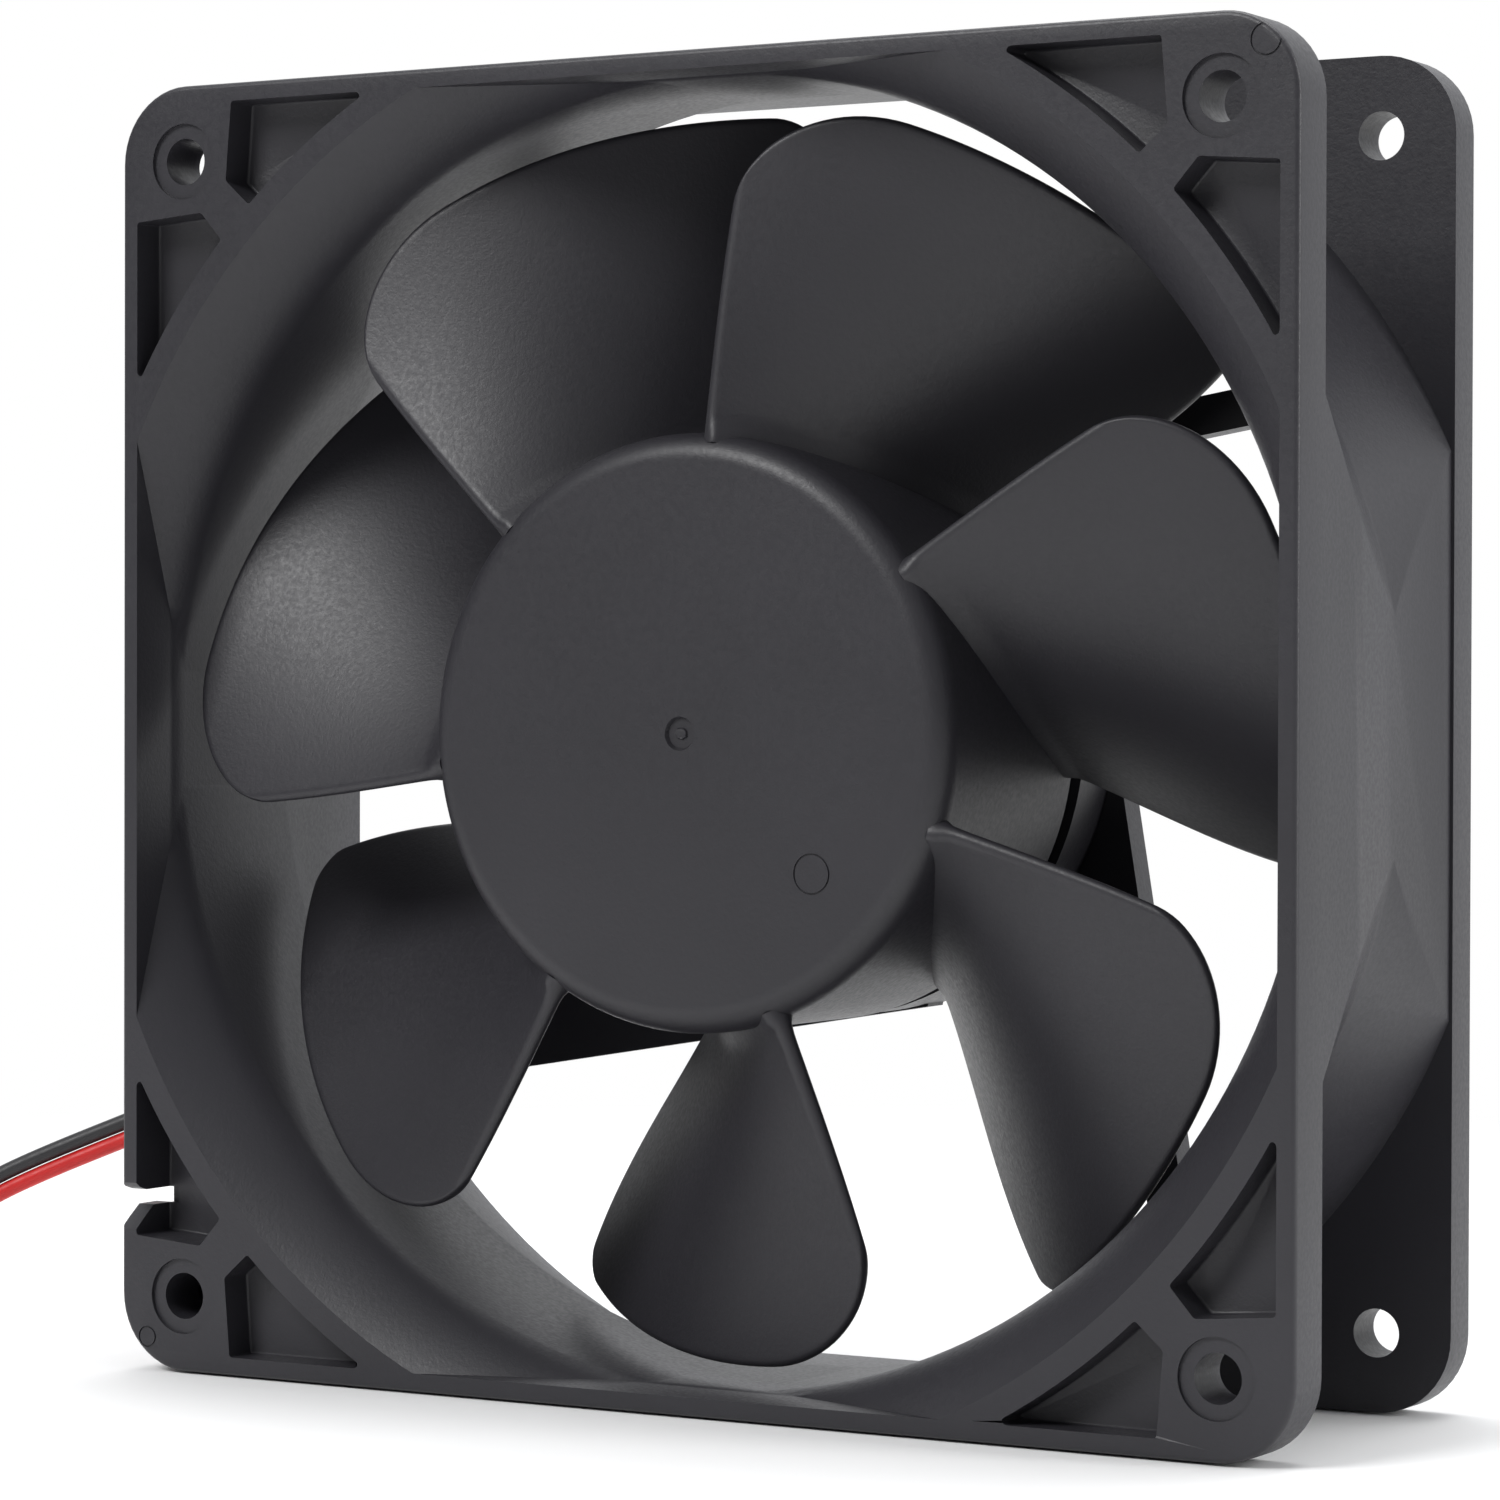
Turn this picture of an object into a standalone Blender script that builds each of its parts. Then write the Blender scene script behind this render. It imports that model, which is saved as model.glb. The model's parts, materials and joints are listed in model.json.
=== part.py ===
"""A square axial fan, 120 x 120 x 38 mm, with seven blades, two ball bearings and a brushless motor.

The scene is in metres, +Z up. Lengths below are in millimetres and are scaled as each mesh is made.
The fan stands on its bottom edge. The intake side faces -Y and the rotor axis runs along Y. A "depth"
is counted from the intake face towards the back, and a "radius" from the rotor axis.
"""

import math

import bmesh
import bpy
from mathutils import Vector

MM = 0.001

# Frame
SIDE = 119.0
DEPTH = 38.0
CORNER_RADIUS = 7.0
AXIS_HEIGHT = SIDE / 2
FRONT_FLANGE = 5.4
REAR_FLANGE = 4.5
REAR_FLANGE_DEPTH = DEPTH - REAR_FLANGE
FLAT_INSIDE = 57.8
FLAT_INSIDE_REAR = 58.9
FLAT_OUTSIDE = 59.2
BORE_RADIUS = 58.05
MOUTH_RADIUS = 63.7
BELL_DEPTH = 7.5
BELL_POWER = 1.7
REAR_CONE_START = 23.5
DUCT_WAIST_RADIUS = 60.1
DUCT_WAIST_DEPTH = 21.0
DUCT_FRONT_RADIUS = 66.0
DUCT_REAR_RADIUS = 64.2

# Corner holes and the cored pockets round them
HOLE_SPACING = 105.0
HOLE_RADIUS = 2.15
RING_RADIUS = 3.5
RING_DEPTH = 0.4
POCKET_EDGE = 57.8
POCKET_ARC_RADIUS = 66.0
POCKET_ROUND = 0.6
FRONT_POCKET_DEPTH = 3.4
LEAD_POCKET_DEPTH = 5.2
LEAD_POCKET_FLOOR = 6.2
REAR_POCKET_DEPTH = 3.4

# Motor base and its four struts
BASE_RADIUS = 26.2
BASE_INNER_RADIUS = 24.6
BASE_FRONT = 28.6
BASE_REAR = 37.5
BASE_FLOOR = 35.5
BASE_HOLE_RADIUS = 7.4
LABEL_RECESS_RADIUS = 20.0
LABEL_RECESS = 0.6
STRUT_TILT = math.radians(9.5)
STRUT_SPANS = ((19.6, 26.3), (22.4, 26.0), (20.6, 24.1), (22.4, 26.0))
CHANNEL_FRONT = 35.3
STRUT_FRONT = 34.4
STRUT_REAR = 37.4
STRUT_END_RADIUS = 65.4

# Impeller
HUB_RADIUS = 26.4
HUB_FRONT = 1.8
HUB_REAR = 26.4
HUB_ROUND = 2.5
HUB_WALL = 1.6
HUB_TOP = 1.8
BLADES = 7
TIP_RADIUS = 56.2
ROOT_RADIUS = HUB_RADIUS - 0.8
LEAD_ANGLE_ROOT = math.radians(4.9)
LEAD_ANGLE_MIDDLE = math.radians(4.55)
LEAD_ANGLE_TIP = math.radians(5.75)
SWEEP_ROOT = math.radians(41.9)
SWEEP_MIDDLE = math.radians(47.4)
SWEEP_TIP = math.radians(45.8)
LEAD_DEPTH_ROOT = 2.4
LEAD_DEPTH_TIP = 4.8
TRAIL_DEPTH_ENDS = 25.7
TRAIL_DEPTH_MIDDLE = 27.0
CAMBER_ROOT = 0.66
CAMBER_TIP = 0.45
BLADE_THICK_ROOT = 2.0
BLADE_THICK_TIP = 1.3
TIP_ROUND_CHORD = 14.0
TIP_ROUND_RADIAL = 10.0
TAIL_ROUND = 3.0

# Motor
SHAFT_RADIUS = 2.0
SHAFT_FRONT = 5.2
SHAFT_REAR = 33.2
TUBE_RADIUS = 7.0
TUBE_BORE = 6.0
TUBE_SHOULDER = 5.2
TUBE_FRONT = 11.4
TUBE_REAR = 36.6
BEARING_WIDTH = 4.0
BEARING_FRONTS = {"front": 12.0, "rear": 26.5}
BALL_CIRCLE = 4.0
BALL_RADIUS = 0.72
BALLS = 7
CORE_FRONT = 12.5
CORE_REAR = 22.5
CORE_RADIUS = 19.6
NECK_WIDTH = 5.0
BOARD_FRONT = 29.6
BOARD_REAR = 31.0
BOARD_RADIUS = 24.1

# Leads
LEAD_RADIUS = 0.8
LEAD_SIDES = 2
COIL_CENTRE = (-112.0, -14.6)
COIL_RADIUS = 8.25
COIL_TURNS = 4
COIL_LIFT = 0.8
COIL_PITCH = 1.6
LAYER_GAP = 0.3

FINE = 72
ROUND = 42
SMALL = 24


# Materials -----------------------------------------------------------------------------------------

def make_material(name, colour, roughness, metallic=0.0):
    material = bpy.data.materials.new(name)
    material.use_nodes = True
    shader = material.node_tree.nodes["Principled BSDF"]
    shader.inputs["Base Color"].default_value = (*colour, 1.0)
    shader.inputs["Roughness"].default_value = roughness
    shader.inputs["Metallic"].default_value = metallic
    material.diffuse_color = (*colour, 1.0)
    return material


def make_materials():
    return {
        "frame_plastic": make_material("frame_plastic", (0.040, 0.040, 0.045), 0.55),
        "impeller_plastic": make_material("impeller_plastic", (0.037, 0.037, 0.042), 0.5),
        "steel": make_material("steel", (0.55, 0.55, 0.56), 0.3, 1.0),
        "yoke_steel": make_material("yoke_steel", (0.42, 0.42, 0.43), 0.4, 1.0),
        "lamination": make_material("lamination", (0.30, 0.30, 0.31), 0.5, 1.0),
        "brass": make_material("brass", (0.72, 0.52, 0.22), 0.35, 1.0),
        "magnet": make_material("magnet", (0.05, 0.045, 0.045), 0.7),
        "insulator": make_material("insulator", (0.75, 0.73, 0.66), 0.5),
        "copper": make_material("copper", (0.70, 0.30, 0.14), 0.3, 1.0),
        "board": make_material("board", (0.03, 0.20, 0.07), 0.4),
        "chip": make_material("chip", (0.02, 0.02, 0.02), 0.5),
        "capacitor": make_material("capacitor", (0.60, 0.60, 0.62), 0.35, 1.0),
        "resistor": make_material("resistor", (0.03, 0.03, 0.035), 0.4),
        "label": make_material("label", (0.70, 0.70, 0.70), 0.4),
        "red_insulation": make_material("red_insulation", (0.65, 0.01, 0.01), 0.4),
        "black_insulation": make_material("black_insulation", (0.02, 0.02, 0.022), 0.4),
        "connector": make_material("connector", (0.78, 0.77, 0.72), 0.45),
        "tin": make_material("tin", (0.70, 0.70, 0.70), 0.3, 1.0),
        "tie": make_material("tie", (0.03, 0.03, 0.03), 0.5),
    }


# Mesh building -------------------------------------------------------------------------------------

def from_face(depth):
    """The y of a depth counted from the intake face."""
    return depth - DEPTH / 2


def finish(name, bm, material, location=(0.0, 0.0, AXIS_HEIGHT)):
    """Makes an object of a mesh that is in millimetres about its own origin."""
    bmesh.ops.remove_doubles(bm, verts=bm.verts[:], dist=0.0005)
    bmesh.ops.recalc_face_normals(bm, faces=bm.faces[:])
    bmesh.ops.scale(bm, vec=(MM, MM, MM), verts=bm.verts[:])
    mesh = bpy.data.meshes.new(name)
    bm.to_mesh(mesh)
    bm.free()
    mesh.shade_smooth()
    mesh.set_sharp_from_angle(angle=math.radians(32))
    obj = bpy.data.objects.new(name, mesh)
    obj.location = Vector(location) * MM
    bpy.context.scene.collection.objects.link(obj)
    if material:
        mesh.materials.append(material)
    else:
        obj.hide_render = True
        obj.display_type = "WIRE"
    return obj


def turned(name, profile, material, segments=ROUND, angle=math.tau, closed=True):
    """A closed (radius, depth) profile spun about the rotor axis, or an open one with both ends on it."""
    bm = bmesh.new()
    verts = [bm.verts.new((radius, from_face(depth), 0)) for radius, depth in profile]
    edges = [bm.edges.new(pair) for pair in zip(verts, verts[1:])]
    if closed:
        edges.append(bm.edges.new((verts[-1], verts[0])))
    whole = math.isclose(angle, math.tau)
    if not whole:
        bm.faces.new(verts)
    spun = bmesh.ops.spin(
        bm, geom=verts + edges, cent=(0, 0, 0), axis=(0, 1, 0), angle=angle,
        steps=segments, use_merge=whole,
    )
    if not whole:
        last = [item for item in spun["geom_last"] if isinstance(item, bmesh.types.BMVert)]
        bm.faces.new(last)
    return finish(name, bm, material)


def ring(inner, outer, front, rear):
    return [(inner, front), (outer, front), (outer, rear), (inner, rear)]


def extrude_outline(bm, outline, front, rear):
    """Adds a prism of a closed (x, height above the axis) outline between two depths."""
    face = bm.faces.new([bm.verts.new((x, from_face(front), z)) for x, z in outline])
    grown = bmesh.ops.extrude_face_region(bm, geom=[face])
    moved = [item for item in grown["geom"] if isinstance(item, bmesh.types.BMVert)]
    bmesh.ops.translate(bm, vec=(0, rear - front, 0), verts=moved)


def extruded(name, outline, front, rear, material):
    bm = bmesh.new()
    extrude_outline(bm, outline, front, rear)
    return finish(name, bm, material)


def block(name, low, high, material, bevel=0.0):
    """A box given by its corners: x, depth, height above the axis."""
    bm = bmesh.new()
    bmesh.ops.create_cube(bm, size=1.0)
    size = [high[i] - low[i] for i in range(3)]
    middle = Vector(((high[0] + low[0]) / 2, from_face((high[1] + low[1]) / 2), (high[2] + low[2]) / 2))
    bmesh.ops.scale(bm, vec=size, verts=bm.verts[:])
    if bevel:
        bmesh.ops.bevel(bm, geom=bm.edges[:], offset=bevel, segments=1, affect="EDGES")
    bmesh.ops.translate(bm, vec=middle, verts=bm.verts[:])
    return finish(name, bm, material)


def boolean(target, operation, other):
    modifier = target.modifiers.new(f"{operation.lower()} {other.name}", "BOOLEAN")
    modifier.operation = operation
    modifier.object = other
    return target


def arc(centre, radius, start, end, steps):
    """Points on an arc. Angles are in degrees, clockwise from straight up as seen from the intake side."""
    points = []
    for i in range(steps + 1):
        angle = math.radians(start + (end - start) * i / steps)
        points.append((centre[0] + radius * math.sin(angle), centre[1] + radius * math.cos(angle)))
    return points


def rounded_square(half, radius, steps=5):
    outline = []
    inset = half - radius
    for index, (x, z) in enumerate(((inset, inset), (inset, -inset), (-inset, -inset), (-inset, inset))):
        outline += arc((x, z), radius, 90 * index, 90 * index + 90, steps)
    return outline


# Frame ---------------------------------------------------------------------------------------------

def bell_profile():
    """The intake bell, the bore and the outlet cone, as (radius, depth) from front to back."""
    steps = 5
    points = []
    for i in range(steps + 1):
        depth = BELL_DEPTH * i / steps
        flare = (MOUTH_RADIUS - BORE_RADIUS) * (1 - i / steps) ** BELL_POWER
        points.append((BORE_RADIUS + flare, depth))
    points.append((BORE_RADIUS, REAR_CONE_START))
    points.append((MOUTH_RADIUS, DEPTH))
    return points


def loft(name, sections, material):
    """A solid through closed outlines of equal length, each at its depth."""
    bm = bmesh.new()
    loops = [[bm.verts.new((x, from_face(depth), z)) for x, z in outline] for outline, depth in sections]
    for one, other in zip(loops, loops[1:]):
        for i in range(len(one)):
            j = (i + 1) % len(one)
            bm.faces.new((one[i], one[j], other[j], other[i]))
    bm.faces.new(loops[0])
    bm.faces.new(loops[-1])
    return finish(name, bm, material)


def air_path():
    """The space that the air passes through: the round bore cut off by the four flat side walls."""
    past = 1.0
    profile = [(0, -past), (MOUTH_RADIUS + past, -past)] + bell_profile()
    profile += [(MOUTH_RADIUS, DEPTH + past), (0, DEPTH + past)]
    bore = turned("cutter_bore", profile, None, FINE, closed=False)
    slope = (FLAT_INSIDE_REAR - FLAT_INSIDE) / (DEPTH - REAR_CONE_START)
    flats = loft("cutter_flats", (
        (square(FLAT_INSIDE), -2), (square(FLAT_INSIDE), REAR_CONE_START),
        (square(FLAT_INSIDE_REAR + 2 * slope), DEPTH + 2),
    ), None)
    return boolean(bore, "INTERSECT", flats)


def square(half):
    return [(-half, -half), (half, -half), (half, half), (-half, half)]


def duct_body():
    """The outside of the duct between the flanges, from the wide ends to the waist."""
    end = 0.6
    profile = [(0, FRONT_FLANGE - end), (DUCT_FRONT_RADIUS, FRONT_FLANGE - end)]
    steps = 4
    for i in range(steps + 1):
        along = i / steps
        depth = FRONT_FLANGE + (DUCT_WAIST_DEPTH - FRONT_FLANGE) * along
        radius = DUCT_WAIST_RADIUS + (DUCT_FRONT_RADIUS - DUCT_WAIST_RADIUS) * (1 - along) ** 1.5
        profile.append((radius, depth))
    profile += [(DUCT_REAR_RADIUS, REAR_FLANGE_DEPTH), (DUCT_REAR_RADIUS, REAR_FLANGE_DEPTH + end)]
    profile.append((0, REAR_FLANGE_DEPTH + end))
    duct = turned("cutter_duct", profile, None, FINE, closed=False)
    flats = extruded("cutter_duct_flats", square(FLAT_OUTSIDE), 0, DEPTH, None)
    return boolean(duct, "INTERSECT", flats)


def flange_gap():
    """What is left out between the two flanges, round the duct."""
    outside = SIDE / 2 + 5
    gap = extruded("cutter_gap", square(outside), FRONT_FLANGE, REAR_FLANGE_DEPTH, None)
    return boolean(gap, "DIFFERENCE", duct_body())


def pocket_outline():
    """The pocket beside the top of a corner hole, in the first quadrant."""
    outline = [(33.0, POCKET_EDGE), (47.1, POCKET_EDGE), (47.7, 50.5)]
    outline += arc((0, 0), POCKET_ARC_RADIUS, 43.1, 29.7, 4)
    return outline


def quadrant_outlines(outline, lead_pocket):
    """The outline mirrored about the diagonal and into the other corners, or only the one at the lead notch."""
    found = []
    for x_sign in (1, -1):
        for z_sign in (1, -1):
            upright = [(x * x_sign, z * z_sign) for x, z in outline]
            beside = [(z * x_sign, x * z_sign) for x, z in outline]
            at_leads = (x_sign, z_sign) == (-1, -1)
            if lead_pocket and at_leads:
                found.append(beside)
            elif not lead_pocket:
                found += [upright] if at_leads else [upright, beside]
    return found


def pockets(name, front, rear, lead_pocket=False):
    bm = bmesh.new()
    for outline in quadrant_outlines(pocket_outline(), lead_pocket):
        extrude_outline(bm, outline, front, rear)
    return rounded_cutter(finish(name, bm, None))


def rounded_cutter(cutter):
    """Rounds a cutter's corners and floor edges."""
    bevel = cutter.modifiers.new("round", "BEVEL")
    bevel.width = POCKET_ROUND * MM
    bevel.segments = 1
    bevel.limit_method = "ANGLE"
    bevel.angle_limit = math.radians(35)
    return cutter


def lead_notch():
    """A slot in the flange's left edge, wide at the front and narrow behind, to press the leads into."""
    left, right = -SIDE / 2 - 1, -POCKET_EDGE + 1
    shape = [(-0.4, -46.9), (1.2, -45.6), (2.7, -44.5), (FRONT_FLANGE + 0.4, -44.5)]
    shape += [(FRONT_FLANGE + 0.4, -43.0), (1.6, -43.0), (0.6, -42.7), (-0.4, -42.0)]
    bm = bmesh.new()
    sides = [[bm.verts.new((x, from_face(depth), z)) for depth, z in shape] for x in (left, right)]
    bm.faces.new(sides[0])
    bm.faces.new(sides[1])
    for i in range(len(shape)):
        j = (i + 1) % len(shape)
        bm.faces.new((sides[0][i], sides[0][j], sides[1][j], sides[1][i]))
    return finish("cutter_notch", bm, None)


def lead_pocket_floor():
    """The pocket at the lead notch is deep, and its floor stands behind the flange."""
    left, right = -POCKET_EDGE, -46.0
    outline = [(left, -48.6), (-50.5, -48.9), (right, -47.0), (right, -43.0), (-56.0, -32.0), (left, -32.0)]
    return extruded("cutter_pocket_floor", outline, LEAD_POCKET_DEPTH - 0.6, LEAD_POCKET_FLOOR, None)


def corner_holes():
    bm = bmesh.new()
    half = HOLE_SPACING / 2
    for x in (-half, half):
        for z in (-half, half):
            extrude_outline(bm, arc((x, z), HOLE_RADIUS, 0, 345, 23), RING_DEPTH / 2, DEPTH + 1)
    return finish("cutter_holes", bm, None)


def hole_rings():
    bm = bmesh.new()
    half = HOLE_SPACING / 2
    for x in (-half, half):
        for z in (-half, half):
            extrude_outline(bm, arc((x, z), RING_RADIUS, 0, 345, 23), -1, RING_DEPTH)
    return finish("cutter_rings", bm, None)


def strut_frame(turn):
    """The directions out of and along a strut, which is tangential to the motor base."""
    outward = Vector((math.sin(STRUT_TILT + turn), -math.cos(STRUT_TILT + turn)))
    along = Vector((outward.y, -outward.x))
    return outward, along


def strut_point(out, along_by, turn=0.0):
    outward, along = strut_frame(turn)
    return tuple(outward * out + along * along_by)


def strut_outline(index):
    """A strut from the motor base to the duct, with a gusset where it leaves the base."""
    inner, outer = STRUT_SPANS[index]
    reach = math.sqrt(STRUT_END_RADIUS ** 2 - outer ** 2)
    corners = (
        (19.4, -6), (inner, -6), (outer, -3), (outer, reach), (inner, reach), (inner, 20.5), (19.4, 16.5),
    )
    return [strut_point(out, by, index * math.pi / 2) for out, by in corners]


def motor_base():
    """A shallow dish for the circuit board, with a collar that holds the bearing tube."""
    recess = BASE_REAR - LABEL_RECESS
    collar = BASE_HOLE_RADIUS + 2.0
    profile = [
        (BASE_INNER_RADIUS, BASE_FRONT), (BASE_RADIUS, BASE_FRONT), (BASE_RADIUS, BASE_REAR),
        (LABEL_RECESS_RADIUS, BASE_REAR), (LABEL_RECESS_RADIUS, recess), (BASE_HOLE_RADIUS, recess),
        (BASE_HOLE_RADIUS, BOARD_REAR + 1.0), (collar, BOARD_REAR + 1.0), (collar, BASE_FLOOR),
        (BASE_INNER_RADIUS, BASE_FLOOR),
    ]
    base = turned("cutter_base", profile, None, ROUND)
    for index in range(4):
        outline = strut_outline(index)
        boolean(base, "UNION", extruded(f"cutter_strut_{index}", outline, STRUT_FRONT, STRUT_REAR, None))
    return base


def lead_openings():
    """The leads' way out: down through the motor base, along a channel behind the lower strut, through the duct."""
    cutters = []
    for index, (inner, outer, start, end, front, rear) in enumerate((
        (20.7, 25.2, 3, 57.5, CHANNEL_FRONT, DEPTH), (20.6, 25.3, 0.5, 9.5, 31.2, CHANNEL_FRONT + 0.7),
        (20.8, 25.1, 44, 57, STRUT_FRONT - 1, CHANNEL_FRONT + 0.1), (19.9, 25.9, 48, 63, 29.4, 33.3),
    )):
        shape = [strut_point(out, by) for out, by in ((inner, start), (outer, start), (outer, end), (inner, end))]
        cutters.append(extruded(f"cutter_lead_way_{index}", shape, front, rear, None))
    return cutters


def frame_housing(material):
    sections = [(rounded_square(SIDE / 2, CORNER_RADIUS), depth) for depth in (0, DEPTH)]
    frame = loft("frame_housing", sections, material)
    boolean(frame, "DIFFERENCE", flange_gap())
    boolean(frame, "UNION", lead_pocket_floor())
    boolean(frame, "DIFFERENCE", air_path())
    boolean(frame, "UNION", motor_base())
    boolean(frame, "DIFFERENCE", pockets("cutter_front_pockets", -2, FRONT_POCKET_DEPTH))
    boolean(frame, "DIFFERENCE", pockets("cutter_lead_pocket", -2, LEAD_POCKET_DEPTH, lead_pocket=True))
    boolean(frame, "DIFFERENCE", pockets("cutter_rear_pockets", DEPTH - REAR_POCKET_DEPTH, DEPTH + 2))
    boolean(frame, "DIFFERENCE", rear_lead_corner())
    boolean(frame, "DIFFERENCE", lead_notch())
    boolean(frame, "DIFFERENCE", hole_rings())
    boolean(frame, "DIFFERENCE", corner_holes())
    for cutter in lead_openings():
        boolean(frame, "DIFFERENCE", cutter)
    return frame


def rear_lead_corner():
    """The rear face's pocket beside the leads' corner, like its neighbours."""
    return pockets("cutter_rear_lead_pocket", DEPTH - REAR_POCKET_DEPTH, DEPTH + 2, lead_pocket=True)


# Impeller ------------------------------------------------------------------------------------------

def hub_profile():
    """Front face with a gate pit, rounded rim, skirt, and the hollow inside, as (radius, depth)."""
    inner = HUB_RADIUS - HUB_WALL
    points = [(0, HUB_FRONT + 0.4), (1.3, HUB_FRONT + 0.4), (1.5, HUB_FRONT)]
    steps = 4
    for i in range(steps + 1):
        angle = math.pi / 2 * i / steps
        points.append((
            HUB_RADIUS - HUB_ROUND + HUB_ROUND * math.sin(angle),
            HUB_FRONT + HUB_ROUND - HUB_ROUND * math.cos(angle),
        ))
    points += [(HUB_RADIUS, HUB_REAR), (inner, HUB_REAR)]
    points += [(inner, HUB_FRONT + HUB_TOP + 1.0), (inner - 1.0, HUB_FRONT + HUB_TOP)]
    points.append((0, HUB_FRONT + HUB_TOP))
    return points


def through_three(start, middle, end, at):
    """A value that runs smoothly through three, at 0, 0.5 and 1."""
    return start + (end - start) * at + (4 * middle - 2 * start - 2 * end) * at * (1 - at)


def sweep(span):
    return through_three(SWEEP_ROOT, SWEEP_MIDDLE, SWEEP_TIP, span)


def blade_front(radius, chord):
    """A point on a blade's intake-side surface, at a chord of 0 at its leading edge and 1 at its tail."""
    span = (radius - HUB_RADIUS) / (TIP_RADIUS - HUB_RADIUS)
    lead = LEAD_DEPTH_ROOT + (LEAD_DEPTH_TIP - LEAD_DEPTH_ROOT) * span
    trail = through_three(TRAIL_DEPTH_ENDS, TRAIL_DEPTH_MIDDLE, TRAIL_DEPTH_ENDS, span)
    camber = CAMBER_ROOT + (CAMBER_TIP - CAMBER_ROOT) * span
    depth = lead + (trail - lead) * chord * (camber + (1 - camber) * chord ** 2)
    angle = through_three(LEAD_ANGLE_ROOT, LEAD_ANGLE_MIDDLE, LEAD_ANGLE_TIP, span) + sweep(span) * chord
    return Vector((radius * math.sin(angle), from_face(depth), radius * math.cos(angle)))


def blade_normal(radius, chord):
    step = 0.01
    along = blade_front(radius, chord + step) - blade_front(radius, chord - step)
    across = blade_front(radius + 0.1, chord) - blade_front(radius - 0.1, chord)
    normal = across.cross(along).normalized()
    return normal if normal.y > 0 else -normal


def blade_thickness(radius, chord):
    span = (radius - HUB_RADIUS) / (TIP_RADIUS - HUB_RADIUS)
    most = BLADE_THICK_ROOT + (BLADE_THICK_TIP - BLADE_THICK_ROOT) * span
    ends = min(1.0, 0.6 + 2.0 * chord, 0.5 + 1.6 * (1 - chord))
    return most * ends


def tip_radius(chord):
    """The blade's outer edge: a wide round at the leading corner and a small one at the tail."""
    run = TIP_RADIUS * SWEEP_TIP
    from_lead = chord * run
    from_tail = (1 - chord) * run
    drop = 0.0
    if from_lead < TIP_ROUND_CHORD:
        part = 1 - from_lead / TIP_ROUND_CHORD
        drop += TIP_ROUND_RADIAL * (1 - math.sqrt(1 - part * part))
    if from_tail < TAIL_ROUND:
        part = 1 - from_tail / TAIL_ROUND
        drop += TAIL_ROUND * (1 - math.sqrt(1 - part * part))
    return TIP_RADIUS - drop


def blade(name):
    """One blade: its two surfaces as grids, joined round their edges."""
    chords = (0.0, 0.01, 0.04, 0.10, 0.18, 0.28, 0.42, 0.58, 0.74, 0.88, 0.96, 0.985, 1.0)
    spans = (0.0, 0.2, 0.4, 0.6, 0.8, 1.0)
    bm = bmesh.new()
    front, rear = [], []
    for chord in chords:
        reach = tip_radius(chord) - ROOT_RADIUS
        front_row, rear_row = [], []
        for span in spans:
            radius = ROOT_RADIUS + reach * span
            point = blade_front(radius, chord)
            offset = blade_normal(radius, chord) * blade_thickness(radius, chord)
            front_row.append(bm.verts.new(point))
            rear_row.append(bm.verts.new(point + offset))
        front.append(front_row)
        rear.append(rear_row)
    columns, rows = len(spans), len(chords)
    for i in range(rows - 1):
        for j in range(columns - 1):
            bm.faces.new((front[i][j], front[i + 1][j], front[i + 1][j + 1], front[i][j + 1]))
            bm.faces.new((rear[i][j], rear[i][j + 1], rear[i + 1][j + 1], rear[i + 1][j]))
    for i in range(rows - 1):
        for j in (0, columns - 1):
            bm.faces.new((front[i][j], front[i + 1][j], rear[i + 1][j], rear[i][j]))
    for j in range(columns - 1):
        for i in (0, rows - 1):
            bm.faces.new((front[i][j], front[i][j + 1], rear[i][j + 1], rear[i][j]))
    return finish(name, bm, None)


def impeller(material):
    hub = turned("impeller", hub_profile(), material, 8 * BLADES, closed=False)
    for index in range(BLADES):
        vane = blade(f"cutter_blade_{index}")
        vane.rotation_euler = (0, math.tau * index / BLADES, 0)
        boolean(hub, "UNION", vane)
    return hub


# Rotor inside the hub ------------------------------------------------------------------------------

def rotor_pieces(materials):
    inside = HUB_RADIUS - HUB_WALL
    plate = HUB_FRONT + HUB_TOP + 0.3
    yoke = inside - 0.3
    pieces = []
    pieces.append(turned("rotor_yoke", [
        (0, plate), (yoke - 1.2, plate), (yoke, plate + 1.2), (yoke, 25.6),
        (yoke - 1.1, 25.6), (yoke - 1.1, plate + 1.5), (yoke - 1.5, plate + 1.0), (0, plate + 1.0),
    ], materials["yoke_steel"], ROUND, closed=False))
    pieces.append(turned("magnet_ring", ring(20.6, yoke - 1.4, 9.0, 24.6), materials["magnet"], ROUND))
    bush = ring(SHAFT_RADIUS + 0.3, 4.4, SHAFT_FRONT, SHAFT_FRONT + 3.4)
    pieces.append(turned("shaft_bush", bush, materials["brass"], SMALL))
    groove = SHAFT_REAR - 2.2
    pieces.append(turned("shaft", [
        (0, SHAFT_FRONT), (SHAFT_RADIUS - 0.2, SHAFT_FRONT), (SHAFT_RADIUS, SHAFT_FRONT + 0.2),
        (SHAFT_RADIUS, groove), (1.4, groove), (1.4, groove + 1.1), (SHAFT_RADIUS, groove + 1.1),
        (SHAFT_RADIUS, SHAFT_REAR - 0.2), (SHAFT_RADIUS - 0.2, SHAFT_REAR), (0, SHAFT_REAR),
    ], materials["steel"], SMALL, closed=False))
    clip = ring(1.7, 3.4, groove + 0.3, groove + 0.8)
    pieces.append(turned("retaining_clip", clip, materials["steel"], 20, math.radians(290)))
    return pieces


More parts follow.
